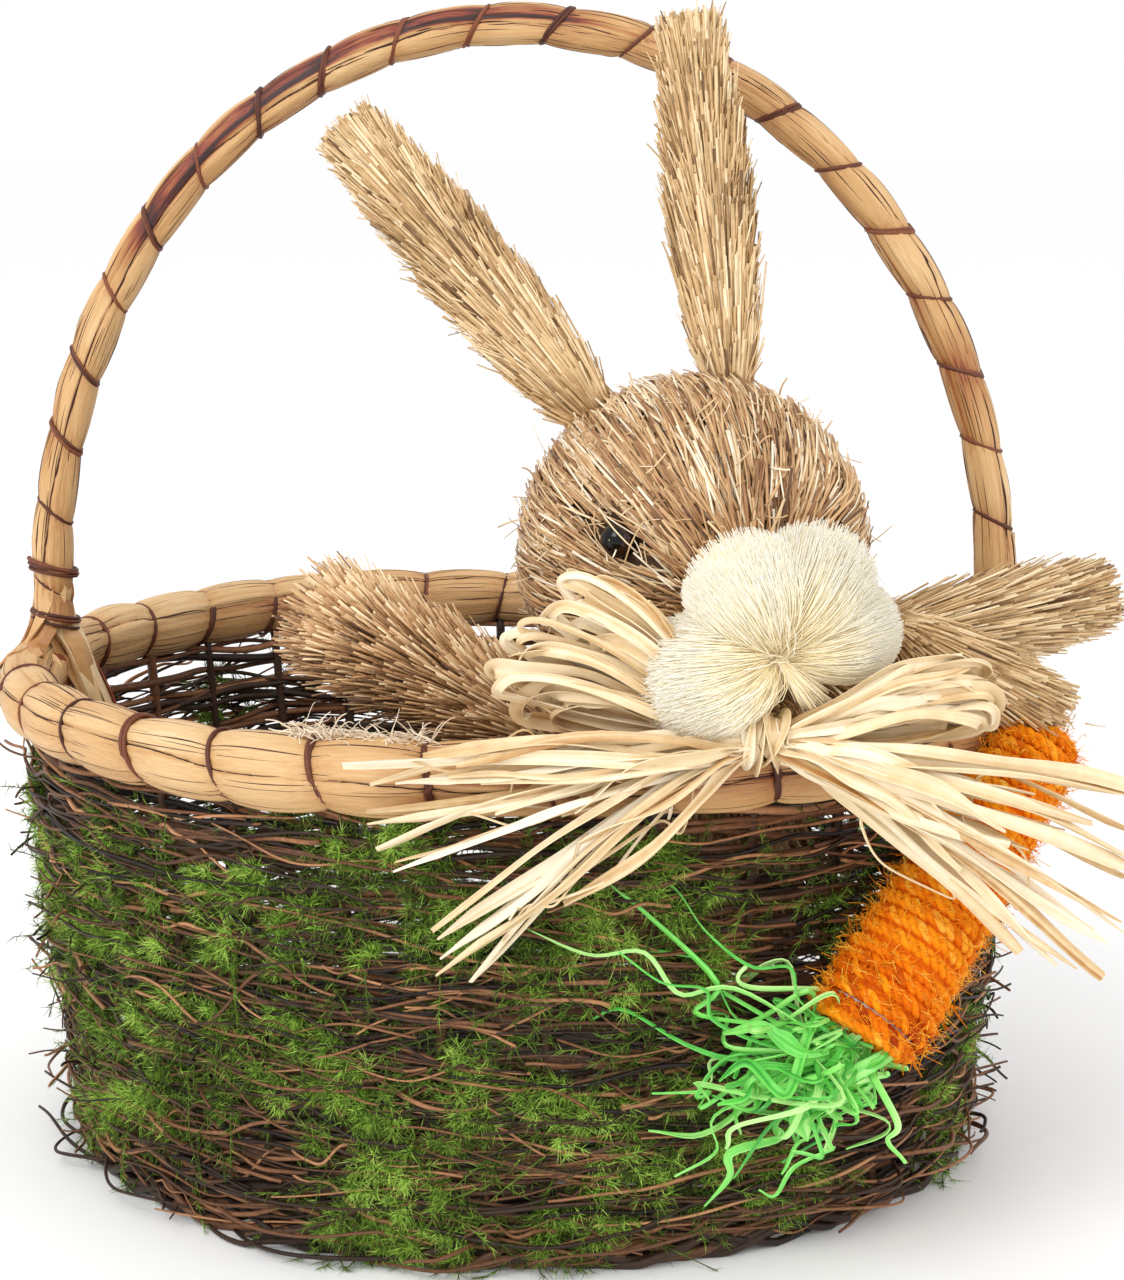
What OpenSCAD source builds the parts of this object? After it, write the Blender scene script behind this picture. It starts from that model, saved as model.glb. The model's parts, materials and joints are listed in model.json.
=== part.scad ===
// Easter basket: an oval vine basket with a bark-wrapped rim and arched handle, moss on its
// wall, and a straw bunny looking over the front rim with a raffia bow and a rope carrot.
// Millimetres, +Z up. The origin is the centre of the underside, +X runs along the handle's
// span, and the bunny faces -Y.

/* [Basket] */
// Half length of the rim's centre line, along the handle's span
rim_half_length = 141; // [140.5:0.1:141.5]
// Half depth of the rim's centre line, front to back
rim_half_depth = 110; // [109.5:0.1:111]
// Height of the rim's centre line over the ground
rim_height = 135; // [134.5:0.1:135.5]
// How far the wall leans in from the rim down to the ground
wall_taper = 11; // [9:1:12]
// Thickness of the woven wall
wall_thickness = 5; // [4:0.5:5]
// Thickness of the moss on the wall
moss_thickness = 4.2; // [3:0.2:4.6]
// Radius of the padded bark roll on the rim
roll_radius = 9; // [8.6:0.1:9]
// Upright stakes in the wall
stake_count = 32; // [24:2:36]
// Turns of twine round the rim
rim_turns = 32; // [28:4:36]

/* [Handle] */
// Half width of the handle's centre line
handle_half_width = 135.5; // [135:0.1:136]
// Height of the top of the handle's centre line
handle_top = 317; // [310:1:322]
// Height at which the handle's legs turn into the arch
handle_spring = 158; // [156:1:160]
// Radius of the bark roll on the handle
handle_radius = 5.4; // [5:0.1:5.5]
// Radius of the cane core of the handle
core_radius = 2.5; // [2.2:0.1:2.5]
// Turns of twine round the handle
handle_turns = 22; // [16:2:26]

/* [Bunny] */
// Radius of the head with its straw coat
head_radius = 46; // [45:0.5:46]
// Radius of the form inside the head
head_form_radius = 38; // [36:0.5:39]
// Turn of the face away from straight ahead, in degrees
head_turn = 20; // [18:1:22]
// Downward nod of the face, in degrees
head_nod = 10; // [9:1:12]
// Sideways tilt of the face, in degrees
head_tilt = 8; // [6:1:9]
// Length of the left ear over the head
left_ear_length = 95; // [90:1:100]
// Length of the right ear over the head
right_ear_length = 90; // [86:1:95]
// Width of each ear
ear_width = 22; // [18:1:24]
// Thickness of each ear
ear_thickness = 9; // [7:0.5:10]
// Radius of the eye beads
eye_radius = 4.6; // [4:0.1:5]

/* [Carrot] */
// Radius of the carrot at its narrow tip
carrot_tip_radius = 11; // [9:0.5:11]
// Radius of the carrot at its leaf end
carrot_end_radius = 16; // [14:0.5:16.5]
// Thickness of the rope wound round the carrot
rope_thickness = 3.5; // [3:0.1:4]

/* [Hidden] */

$fn = 64;
// Space left between a soft piece and its neighbour
gap = 0.3;
// Radial space between a stem and the hole that it is pushed into
fit_gap = 0.1;
// Length added to a cut so that it leaves the solid cleanly
over = 1;

// The basket is a round one squashed front to back.
squash = rim_half_depth / rim_half_length;

// Wall, from the ring it stands on to just under the twine on the rim
binding_radius = 0.9;
ring_height = 9;
ring_half_width = 6;
floor_thickness = 4;
wall_inset = 3;
wall_low = ring_height + gap;
wall_high = rim_height - roll_radius - 2 * binding_radius - fit_gap - gap;
stake_radius = 1.5;

// Rim: a flat cane hoop in a round groove of the bark roll
hoop_width = 3.2;
hoop_height = 4;
hoop_offset = 2.5;
groove_radius = 2.6;

// Handle: the cane bends inwards at leg_bend, inside the bark, and ends inside the basket
leg_low = 149;
leg_bend = 153;
tail_lean = 22;
tail_length = 38;
tail_radius = core_radius + 0.2;
knuckle_radius = core_radius + 0.5;
handle_stretch = (handle_top - handle_spring) / handle_half_width;

// Bow band, which lies on the rim's twine under the muzzle
band_low = 146.2;
band_thickness = 3;
band_radius = 36.5;

// Bunny
head_centre = [49, -50, 181];
body_centre = [54, -50, 98];
body_radius = 29;
body_half_height = 35;
peg_radius = 2.5;
wire_radius = 1;
stem_radius = 1.2;
eye_depth = 44.5;
eye_side = 45;
eye_rise = 25;
ear_foot_radius = 2;
ear_clear = 5.5;
ear_root_width = 8;
left_ear_root = [-26.5, 4, 35];
right_ear_root = [9, 6, 42.5];
left_ear_lean = -42;
right_ear_lean = -7;
ear_back_tilt = 11;
// Muzzle lobes in the head's own frame: X towards the face, Z up, each with its radius
lobe_left = [57.5, -18.5, -8, 17.5];
lobe_top = [55, -5.5, 11.5, 17];
lobe_right = [57, 18, 3.5, 20];
pinch = [66, -3, -2.2];
muzzle_floor = band_low + band_thickness + gap;

// Arms: the wire starts inside the body or the head, and the straw covers its outer part
left_wire_start = [38, -58, 117];
left_arm_tip = [-46, -84, 171];
left_arm_cover = 0.6;
right_wire_start = [80, -50, 151.5];
right_arm_tip = [162, -35, 168];
right_arm_cover = 0.7;
bundle_root = [113, -61, 155];
bundle_tip = [143, -72, 151];

// Bow
knot_centre = [66, -111, 148];
knot_radius = 6.5;
strip_thickness = 2.4;
loop_thickness = 9;

// Carrot, lying against the moss from its tip at the rim to its leaf end
carrot_tip = [140.5, -66.5, 137];
carrot_end = [91, -106, 68];

bark = [0.86, 0.70, 0.49];
twine = [0.45, 0.25, 0.14];
vine = [0.24, 0.16, 0.11];
moss = [0.32, 0.50, 0.16];
straw = [0.72, 0.55, 0.36];
cream = [0.95, 0.91, 0.78];
raffia = [0.91, 0.82, 0.62];
orange = [0.90, 0.43, 0.08];
leaf_green = [0.35, 0.78, 0.38];
foam = [0.92, 0.90, 0.84];
steel = [0.45, 0.45, 0.45];

// Distance of the wall's middle from the basket's axis at height z, before the squash
function wall_radius(z) = rim_half_length - wall_inset - wall_taper * (1 - z / rim_height);

function length_of(v) = sqrt(v * v);

// Squashes a round basket part to the basket's oval.
module squashed() {
    scale([1, squash, 1]) children();
}

// Layer of the wall between two distances from the wall's middle
module wall_layer(inner, outer) {
    height = wall_high - wall_low;
    slope = wall_taper / rim_height;
    difference() {
        translate([0, 0, wall_low]) squashed()
            cylinder(h = height, r1 = wall_radius(wall_low) + outer,
                r2 = wall_radius(wall_high) + outer);
        translate([0, 0, wall_low - over]) squashed()
            cylinder(h = height + 2 * over, r1 = wall_radius(wall_low) - over * slope + inner,
                r2 = wall_radius(wall_high) + over * slope + inner);
    }
}

// Places children on the rim's centre line at an angle, X outwards and Y along the rim.
module on_rim(angle) {
    translate([rim_half_length * cos(angle), rim_half_depth * sin(angle), rim_height])
        rotate([0, 0, atan2(rim_half_length * sin(angle), rim_half_depth * cos(angle))])
            children();
}

// Point on the inner side of the wall at an angle and a height, a clearance inside it
function inside_wall(angle, z, clearance) = [
    (wall_radius(z) - wall_thickness / 2 - clearance) * cos(angle),
    (squash * (wall_radius(z) - wall_thickness / 2) - clearance) * sin(angle),
    z];

// A straight round bar between two points, radius r1 at the first and r2 at the second
module bar(from, to, r1, r2) {
    run = to - from;
    translate(from)
        rotate([0, acos(run.z / length_of(run)), atan2(run.y, run.x)])
            cylinder(h = length_of(run), r1 = r1, r2 = r2);
}

// The handle's arch with its straight legs down to low, as a round rod
module arch_rod(radius, low) {
    translate([0, 0, handle_spring]) scale([1, 1, handle_stretch]) rotate([90, 0, 0])
        rotate_extrude(angle = 180) translate([handle_half_width, 0]) circle(radius);
    for (side = [-1, 1])
        translate([side * handle_half_width, 0, low])
            cylinder(h = handle_spring - low, r = radius);
}

// The arch as a bark tube round the cane
module arch_tube(outer, inner, low) {
    translate([0, 0, handle_spring]) scale([1, 1, handle_stretch]) rotate([90, 0, 0])
        rotate_extrude(angle = 180) translate([handle_half_width, 0]) difference() {
            circle(outer);
            circle(inner);
        }
    for (side = [-1, 1])
        translate([side * handle_half_width, 0, low]) difference() {
            cylinder(h = handle_spring - low, r = outer);
            translate([0, 0, -over])
                cylinder(h = handle_spring - low + 2 * over, r = inner);
        }
}

// The lower ends of the handle's cane, which pass inside the rim, grown by extra
module handle_tails(extra = 0) {
    for (side = [0, 180])
        rotate([0, 0, side]) translate([handle_half_width, 0, leg_bend]) {
            sphere(r = knuckle_radius + extra);
            rotate([180, tail_lean, 0]) cylinder(h = tail_length, r = tail_radius + extra);
        }
}

// Moves children into the head's own frame, X towards the face and Z up.
module in_head() {
    translate(head_centre) rotate([0, head_nod, head_turn - 90])
        rotate([head_tilt, 0, 0]) children();
}

// A ball of the head, turned so that its poles are level with the ears.
module head_ball(radius) {
    in_head() rotate([90, 0, 180]) sphere(r = radius);
}

// Places children on the head at an eye, with Z outwards.
module at_eye(side) {
    in_head() rotate([0, 0, side * eye_side]) rotate([0, 90 - eye_rise, 0]) children();
}

// Places children at an ear's root with Z up the ear.
module at_ear(root, lean) {
    translate(head_centre + root) rotate([0, lean, 0]) rotate([-ear_back_tilt, 0, 0])
        children();
}

// Lobe of the muzzle grown by extra
module lobe(place, extra = 0) {
    in_head() translate([place.x, place.y, place.z]) rotate([0, 0, 180])
        sphere(r = place[3] + extra);
}

// What every muzzle piece leaves free: the head, the pinch, and the bow's knot and band
module muzzle_clearance() {
    translate(head_centre) sphere(r = head_radius + gap);
    translate(knot_centre) sphere(r = knot_radius + gap);
    in_head() translate(pinch) sphere(r = 4);
    translate([0, -150, 0]) cube([150, 150, muzzle_floor]);
}

// Fan of strips seen from the front: a plate between two edges, its points in X and Z
module fan(points, thickness) {
    rotate([90, 0, 0]) linear_extrude(thickness, center = true) polygon(points);
}

// ---- basket ----

module base_ring() {
    color(vine) squashed() rotate_extrude() translate([wall_radius(0), 0]) intersection() {
        translate([0, ring_height - ring_half_width]) circle(ring_half_width);
        translate([-ring_half_width, 0]) square([2 * ring_half_width, ring_height]);
    }
}

module floor_weave() {
    reach = wall_radius(0) - ring_half_width - 2 * gap;
    color(vine) intersection() {
        translate([0, 0, -over]) squashed() cylinder(h = floor_thickness + 2 * over, r = reach);
        translate([-reach, -reach, 0]) cube([2 * reach, 2 * reach, floor_thickness]);
    }
}

module wall_stakes() {
    clearance = stake_radius + 0.6;
    color(vine) for (i = [0 : stake_count - 1]) {
        angle = (i + 0.5) * 360 / stake_count;
        bar(inside_wall(angle, wall_low, clearance), inside_wall(angle, wall_high, clearance),
            stake_radius, stake_radius);
    }
}

module wall_weave() {
    color(vine) wall_layer(-wall_thickness / 2, wall_thickness / 2);
}

module moss_cover() {
    inner = wall_thickness / 2 + 1.3 * gap;
    color(moss) wall_layer(inner, inner + moss_thickness);
}

// Flat cane hoop inside the roll
module rim_hoop() {
    middle = rim_half_length + hoop_offset;
    color(vine) translate([0, 0, rim_height - hoop_height / 2]) linear_extrude(hoop_height)
        squashed() difference() {
            circle(middle + hoop_width / 2);
            circle(middle - hoop_width / 2);
        }
}

// Bark wrapped over the hoop, open underneath where its edges meet
module rim_roll() {
    color(bark) translate([0, 0, rim_height]) squashed() rotate_extrude()
        translate([rim_half_length, 0]) difference() {
            circle(roll_radius);
            translate([hoop_offset, 0]) circle(groove_radius);
            translate([hoop_offset - groove_radius, -roll_radius - over])
                square([2 * groove_radius, roll_radius + over]);
        }
}

// One turn of twine round a roll that runs along Y
module binding_turn(inner) {
    rotate([90, 0, 0]) rotate_extrude()
        translate([inner + binding_radius + fit_gap, 0]) circle(binding_radius, $fn = 24);
}

// Twine round the rim, left out where the handle is lashed on
module rim_binding() {
    color(twine) for (i = [0 : rim_turns - 1]) {
        angle = (i + 0.5) * 360 / rim_turns;
        if (abs(sin(angle)) > sin(360 / rim_turns))
            on_rim(angle) binding_turn(roll_radius);
    }
}

// ---- handle ----

module handle_core() {
    color(vine) {
        arch_rod(core_radius, leg_bend);
        handle_tails();
    }
}

module handle_roll() {
    color(bark) difference() {
        arch_tube(handle_radius, core_radius + fit_gap, leg_low);
        handle_tails(fit_gap);
    }
}

module handle_binding() {
    inner = handle_radius * max(1, handle_stretch);
    color(twine) for (i = [0 : handle_turns - 1]) {
        angle = (i + 0.5) * 180 / handle_turns;
        translate([handle_half_width * cos(angle), 0,
                   handle_spring + handle_stretch * handle_half_width * sin(angle)])
            rotate([0, -atan2(sin(angle), handle_stretch * cos(angle)), 0])
                rotate([90, 0, 0]) binding_turn(inner);
    }
}

// Bark strips that tie one leg of the handle to the rim: a collar on the leg, a band each
// side of it round the rim, and a strap from each band up to the collar
module handle_lashing(side) {
    collar_low = leg_low + 2;
    collar_height = 12;
    collar_inner = handle_radius + gap;
    collar_outer = collar_inner + 1.8;
    band_inner = roll_radius + gap;
    band_outer = band_inner + 1.4;
    band_width = 7;
    band_angle = 5.5;
    strap_radius = 1.5;
    strap_foot = [rim_half_length * cos(band_angle), rim_half_depth * sin(band_angle),
                  rim_height + band_outer + 0.6];
    strap_head = [handle_half_width, collar_inner + strap_radius + 0.4,
                  collar_low + collar_height / 2];
    color(bark) rotate([0, 0, side]) {
        translate([handle_half_width, 0, collar_low]) difference() {
            cylinder(h = collar_height, r = collar_outer);
            translate([0, 0, -over]) cylinder(h = collar_height + 2 * over, r = collar_inner);
        }
        for (end = [-1, 1]) {
            on_rim(end * band_angle) rotate([90, 0, 0]) difference() {
                cylinder(h = band_width, r = band_outer, center = true);
                cylinder(h = band_width + 2 * over, r = band_inner, center = true);
            }
            scale([1, end, 1]) bar(strap_foot, strap_head, strap_radius, strap_radius);
        }
    }
}

module handle_lashing_left() {
    handle_lashing(180);
}

module handle_lashing_right() {
    handle_lashing(0);
}

// ---- bunny ----

module bunny_body() {
    waist = body_half_height - body_radius + 10;
    color(straw) difference() {
        union() {
            translate([body_centre.x, body_centre.y, body_centre.z + waist - 10])
                sphere(r = body_radius);
            translate([body_centre.x, body_centre.y, body_centre.z - waist])
                cylinder(h = 2 * waist - 10, r = body_radius);
        }
        translate([body_centre.x, body_centre.y, body_centre.z - 5])
            cylinder(h = 80, r = peg_radius + fit_gap);
        arm_wire(left_wire_start, left_arm_tip, fit_gap);
    }
}

module neck_peg() {
    color(vine) translate([body_centre.x, body_centre.y, body_centre.z])
        cylinder(h = head_centre.z - body_centre.z - 8, r = peg_radius);
}

// Holes in the head for the peg, the eyes' stems, the right arm's wire and the ears' wires
module head_holes() {
    translate([body_centre.x, body_centre.y, body_centre.z])
        cylinder(h = head_centre.z - body_centre.z - 7, r = peg_radius + fit_gap);
    for (side = [-1, 1])
        at_eye(side) {
            translate([0, 0, eye_depth]) sphere(r = eye_radius + fit_gap);
            translate([0, 0, eye_depth - 16]) cylinder(h = 20, r = stem_radius + fit_gap);
        }
    arm_wire(right_wire_start, right_arm_tip, fit_gap);
    ear_hole(left_ear_root, left_ear_lean);
    ear_hole(right_ear_root, right_ear_lean);
}

// Socket for an ear's foot, wide enough over it for the ear to bend
module ear_hole(root, lean) {
    at_ear(root, lean) {
        sphere(r = ear_foot_radius + 0.25);
        cylinder(h = 12, r1 = ear_foot_radius, r2 = 9);
    }
}

module head_form() {
    color(foam) difference() {
        head_ball(head_form_radius);
        head_holes();
    }
}

module head_coat() {
    color(straw) difference() {
        head_ball(head_radius);
        head_ball(head_form_radius + fit_gap);
        head_holes();
    }
}

module eye(side) {
    color([0.08, 0.05, 0.04]) at_eye(side) {
        translate([0, 0, eye_depth]) sphere(r = eye_radius);
        translate([0, 0, eye_depth - 14]) cylinder(h = 12, r = stem_radius);
    }
}

module eye_left() {
    eye(-1);
}

module eye_right() {
    eye(1);
}

// Flat brush of straw round a wire, cut off blunt at its tip
module ear(root, lean, ear_length) {
    half_root = ear_root_width / 2;
    half = ear_width / 2;
    top = ear_clear + ear_length;
    color(straw) at_ear(root, lean) difference() {
        rotate([90, 0, 0]) linear_extrude(ear_thickness, center = true)
            polygon([[-half_root, ear_clear], [half_root, ear_clear],
                     [half, ear_clear + 0.35 * ear_length], [half, ear_clear + 0.75 * ear_length],
                     [0.75 * half, top], [-0.75 * half, top],
                     [-half, ear_clear + 0.75 * ear_length],
                     [-half, ear_clear + 0.35 * ear_length]]);
        translate([0, 0, ear_clear - over])
            cylinder(h = ear_length - 5 + over, r = wire_radius + fit_gap);
    }
}

module ear_wire(root, lean, ear_length) {
    color(steel) at_ear(root, lean) {
        sphere(r = ear_foot_radius);
        cylinder(h = ear_clear + ear_length - 7, r = wire_radius);
    }
}

module ear_left() {
    ear(left_ear_root, left_ear_lean, left_ear_length);
}

module ear_wire_left() {
    ear_wire(left_ear_root, left_ear_lean, left_ear_length);
}

module ear_right() {
    ear(right_ear_root, right_ear_lean, right_ear_length);
}

module ear_wire_right() {
    ear_wire(right_ear_root, right_ear_lean, right_ear_length);
}

module muzzle_top() {
    color(cream) difference() {
        lobe(lobe_top);
        muzzle_clearance();
    }
}

module muzzle_left() {
    color(cream) difference() {
        lobe(lobe_left);
        lobe(lobe_top, gap);
        muzzle_clearance();
    }
}

module muzzle_right() {
    color(cream) difference() {
        lobe(lobe_right);
        lobe(lobe_top, gap);
        lobe(lobe_left, gap);
        muzzle_clearance();
    }
}

// Knot of thread that pulls the three lobes together
module muzzle_tie() {
    color(cream) in_head() translate(pinch) sphere(r = 3);
}

// Short tuft of bristles under the knot
module chin_tuft() {
    color(cream) difference() {
        in_head() bar([pinch.x + 3, pinch.y + 4, pinch.z - 3], [72, 9, -17], 2, 5);
        in_head() translate(pinch) sphere(r = 3 + gap);
        lobe(lobe_top, gap);
        lobe(lobe_left, gap);
        lobe(lobe_right, gap);
    }
}

// Wire of an arm, straight from its start to near the tip, grown by extra for its hole
module arm_wire(start, tip, extra = 0) {
    run = tip - start;
    bar(start - extra * run / length_of(run), start + (0.9 + extra / length_of(run)) * run,
        wire_radius + extra, wire_radius + extra);
}

// Straw brush over the outer part of an arm's wire
module arm(start, tip, cover, root_radius, tip_radius) {
    color(straw) difference() {
        bar(tip - cover * (tip - start), tip, root_radius, tip_radius);
        arm_wire(start, tip, fit_gap);
    }
}

module arm_left() {
    arm(left_wire_start, left_arm_tip, left_arm_cover, 11, 15);
}

module arm_wire_left() {
    color(steel) arm_wire(left_wire_start, left_arm_tip);
}

module arm_right() {
    arm(right_wire_start, right_arm_tip, right_arm_cover, 9, 12);
}

module arm_wire_right() {
    color(steel) arm_wire(right_wire_start, right_arm_tip);
}

// Loose straw that reaches from the right arm over the rim to the carrot's tip
module hand_bundle_right() {
    color(straw) bar(bundle_root, bundle_tip, 5, 7);
}

// ---- bow ----

// Raffia round the neck, drawn forward over the rim to the knot
module neck_band() {
    color(raffia) translate([0, 0, band_low]) linear_extrude(band_thickness) difference() {
        hull() {
            translate([head_centre.x, head_centre.y]) circle(band_radius);
            translate([knot_centre.x, knot_centre.y + 12]) circle(4);
        }
        hull() {
            translate([head_centre.x, head_centre.y]) circle(band_radius - 2.5);
            translate([knot_centre.x, knot_centre.y + 14]) circle(2);
        }
    }
}

module bow_knot() {
    color(raffia) translate(knot_centre) sphere(r = knot_radius);
}

module bow_loop_left() {
    color(raffia) translate([knot_centre.x - knot_radius - gap, knot_centre.y, knot_centre.z])
        rotate([0, 0, -12])
            fan([[0, -3], [0, 1.2], [-23, 1.4], [-40, 32], [-58, 24], [-60, 6], [-50, 1],
                 [-25, -1.3]], loop_thickness);
}

module bow_loop_right() {
    color(raffia) translate([knot_centre.x + knot_radius + gap, knot_centre.y, knot_centre.z])
        rotate([0, 0, 12])
            fan([[0, -2.5], [0, 1.5], [20, 2.2], [46, 15], [54, 12], [52, 1]], loop_thickness);
}

module bow_tails_left() {
    color(raffia) translate([knot_centre.x - knot_radius - gap, knot_centre.y - 7,
                             knot_centre.z])
        rotate([0, 0, 6])
            fan([[0, -5], [0, 0], [-90, -3], [-88, -24], [-72, -58], [-60, -56]],
                strip_thickness);
}

module bow_tails_right() {
    color(raffia) translate([knot_centre.x + knot_radius + gap, knot_centre.y - 7,
                             knot_centre.z])
        rotate([0, 0, 2])
            fan([[0, -5], [0, 0], [78, -12], [74, -42], [60, -52]], strip_thickness);
}

// ---- carrot ----

carrot_run = carrot_end - carrot_tip;
carrot_axis = carrot_run / length_of(carrot_run);

module carrot_core() {
    color(foam) bar(carrot_tip + 4 * carrot_axis, carrot_end - 4 * carrot_axis,
        carrot_tip_radius - rope_thickness, carrot_end_radius - rope_thickness);
}

module carrot_rope() {
    color(orange) difference() {
        bar(carrot_tip, carrot_end, carrot_tip_radius, carrot_end_radius);
        bar(carrot_tip + 3.9 * carrot_axis, carrot_end - 3.9 * carrot_axis,
            carrot_tip_radius - rope_thickness + fit_gap,
            carrot_end_radius - rope_thickness + fit_gap);
    }
}

module carrot_greens() {
    color(leaf_green) difference() {
        bar(carrot_end, carrot_end + [-34, -6, -30], 9, 11);
        bar(carrot_tip, carrot_end + gap * carrot_axis, carrot_tip_radius, 2 * carrot_end_radius);
    }
}

// Wire twist that ties the carrot's tip to the straw hand
module carrot_tie() {
    color(steel) bar(carrot_tip - 2 * gap * carrot_axis, bundle_tip + [-1.2, 0.6, -8], 0.6, 0.6);
}

base_ring();
floor_weave();
wall_stakes();
wall_weave();
moss_cover();
rim_hoop();
rim_roll();
rim_binding();
handle_core();
handle_roll();
handle_binding();
handle_lashing_left();
handle_lashing_right();
bunny_body();
neck_peg();
head_form();
head_coat();
eye_left();
eye_right();
ear_left();
ear_wire_left();
ear_right();
ear_wire_right();
muzzle_left();
muzzle_top();
muzzle_right();
muzzle_tie();
chin_tuft();
arm_left();
arm_wire_left();
arm_right();
arm_wire_right();
hand_bundle_right();
neck_band();
bow_knot();
bow_loop_left();
bow_loop_right();
bow_tails_left();
bow_tails_right();
carrot_core();
carrot_rope();
carrot_greens();
carrot_tie();
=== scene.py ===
# The looks of the easter basket: vines, moss, bark, straw, sisal, raffia and rope, built strand
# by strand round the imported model. Lengths in this script are millimetres until a mesh is made,
# apart from the stage's, which are metres.

import json
import math
import bpy
import numpy as np
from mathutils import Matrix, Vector
from numpy.random import default_rng


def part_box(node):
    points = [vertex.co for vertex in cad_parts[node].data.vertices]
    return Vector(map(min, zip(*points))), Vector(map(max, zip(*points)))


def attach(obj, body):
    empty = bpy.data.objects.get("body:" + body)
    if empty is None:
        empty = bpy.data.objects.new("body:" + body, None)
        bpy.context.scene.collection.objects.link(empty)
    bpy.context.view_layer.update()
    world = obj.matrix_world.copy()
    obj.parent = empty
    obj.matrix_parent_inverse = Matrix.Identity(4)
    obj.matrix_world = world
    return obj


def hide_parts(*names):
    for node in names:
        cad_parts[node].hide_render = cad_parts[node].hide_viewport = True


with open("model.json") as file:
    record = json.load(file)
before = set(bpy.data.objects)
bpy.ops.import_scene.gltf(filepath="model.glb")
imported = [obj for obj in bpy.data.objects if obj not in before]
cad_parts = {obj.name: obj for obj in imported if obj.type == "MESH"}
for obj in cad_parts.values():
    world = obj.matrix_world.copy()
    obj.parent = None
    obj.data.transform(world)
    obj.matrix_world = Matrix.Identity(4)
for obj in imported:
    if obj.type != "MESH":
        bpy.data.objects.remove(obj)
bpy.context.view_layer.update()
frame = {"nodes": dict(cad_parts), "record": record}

MM = 0.001
TURN = 2 * math.pi
UP = np.array([0.0, 0.0, 1.0])


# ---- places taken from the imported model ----

def node_box(name):
    """Lowest and highest corner of a CAD node in millimetres."""
    low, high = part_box(name)
    return np.array(low) / MM, np.array(high) / MM


def joint_place(name):
    """Position of a joint in millimetres."""
    joint = next(j for j in frame["record"]["behaviour"]["joints"] if j["name"] == name)
    return np.array(joint["pos_m"], float) / MM


ROLL_LOW, ROLL_HIGH = node_box("rim_roll")
ROLL = (ROLL_HIGH[2] - ROLL_LOW[2]) / 2
SQUASH = ROLL_HIGH[1] / ROLL_HIGH[0]
RIM_A = ROLL_HIGH[0] - ROLL
RIM_B = RIM_A * SQUASH
RIM_Z = (ROLL_HIGH[2] + ROLL_LOW[2]) / 2
WALL_TOP = node_box("wall_weave")[1]
RING_HIGH = node_box("base_ring")[1]
FLOOR_HIGH = node_box("floor_weave")[1]
BARK_HIGH = node_box("handle_roll")[1]
CANE_TOP = node_box("handle_core")[1]
HANDLE_R = 5.4
EYE_R = 4.6
HANDLE_A = BARK_HIGH[0] - HANDLE_R
HANDLE_FOOT = 149.0
HANDLE_SPRING = 158.0
HANDLE_TOP = CANE_TOP[2] - (BARK_HIGH[2] - CANE_TOP[2]) * 2.5 / 2.9
HEAD_LOW, HEAD_HIGH = node_box("head_coat")
HEAD_R = (HEAD_HIGH[1] - HEAD_LOW[1]) / 2
HEAD = np.append((HEAD_LOW + HEAD_HIGH)[:2] / 2, HEAD_LOW[2] + HEAD_R)
KNOT = sum(node_box("bow_knot")) / 2
BOW = KNOT + [0, -1, -1.5]
STAKES = 32
RIM_TURNS = 32
HANDLE_TURNS = 22
RIM_TILT = (0.0, -2.2)
HANDLE_TILT = (3.4, 0.0)
RIM_TINTS = (0.05, -0.03, 0.02)
HANDLE_TINTS = (0.04, -0.12, 0.16)


def wall_radius(z):
    """Half length of the wall's middle at height z."""
    foot = RING_HIGH[0] - 6
    top = WALL_TOP[0] - 2.5
    return foot + (top - foot) * z / WALL_TOP[2]


# ---- small tools ----

def unit(v):
    """Vectors brought to length one."""
    return v / np.maximum(np.linalg.norm(v, axis=-1, keepdims=True), 1e-9)


def turned(v, axis, angle):
    """Vectors turned about an axis by an angle in radians."""
    axis = unit(np.asarray(axis, float))
    c = np.cos(angle)
    s = np.sin(angle)
    dot = np.sum(v * axis, axis=-1, keepdims=True)
    return v * c + np.cross(axis, v) * s + axis * dot * (1 - c)


def stacked(x, y, z):
    """Points from their coordinates, which are single numbers or grids."""
    return np.stack(np.broadcast_arrays(x, y, z), axis=-1)


def circle(count):
    """Angles all the way round."""
    return np.linspace(0, TURN, count, endpoint=False)


def soft_noise(shape, lengths, rng):
    """Random field that wraps at its ends, smooth over the given numbers of samples."""
    field = np.fft.fftn(rng.standard_normal(shape))
    for axis, length in enumerate(lengths):
        gain = np.exp(-0.5 * (TURN * np.fft.fftfreq(shape[axis]) * length) ** 2)
        field *= gain.reshape([-1 if i == axis else 1 for i in range(len(shape))])
    field = np.fft.ifftn(field).real
    return field / field.std()


def spline(points, count):
    """Smooth curve of count points through the given points."""
    p = np.asarray(points, float)
    p = np.vstack([2 * p[0] - p[1], p, 2 * p[-1] - p[-2]])
    t = np.linspace(0, len(p) - 3 - 1e-6, count)
    i = t.astype(int)
    f = (t - i)[:, None]
    a, b, c, d = p[i], p[i + 1], p[i + 2], p[i + 3]
    return 0.5 * (2 * b + (c - a) * f + (2 * a - 5 * b + 4 * c - d) * f ** 2
                  + (3 * b - a - 3 * c + d) * f ** 3)


def round_section(radii, sides, flat=1.0):
    """Round cross-sections, one for each radius; flat squeezes them along the normal."""
    angle = TURN * (np.arange(sides) + 0.5) / sides
    outline = np.stack([np.cos(angle), flat * np.sin(angle)], axis=-1)
    return np.asarray(radii, float)[..., None, None] * outline


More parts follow.
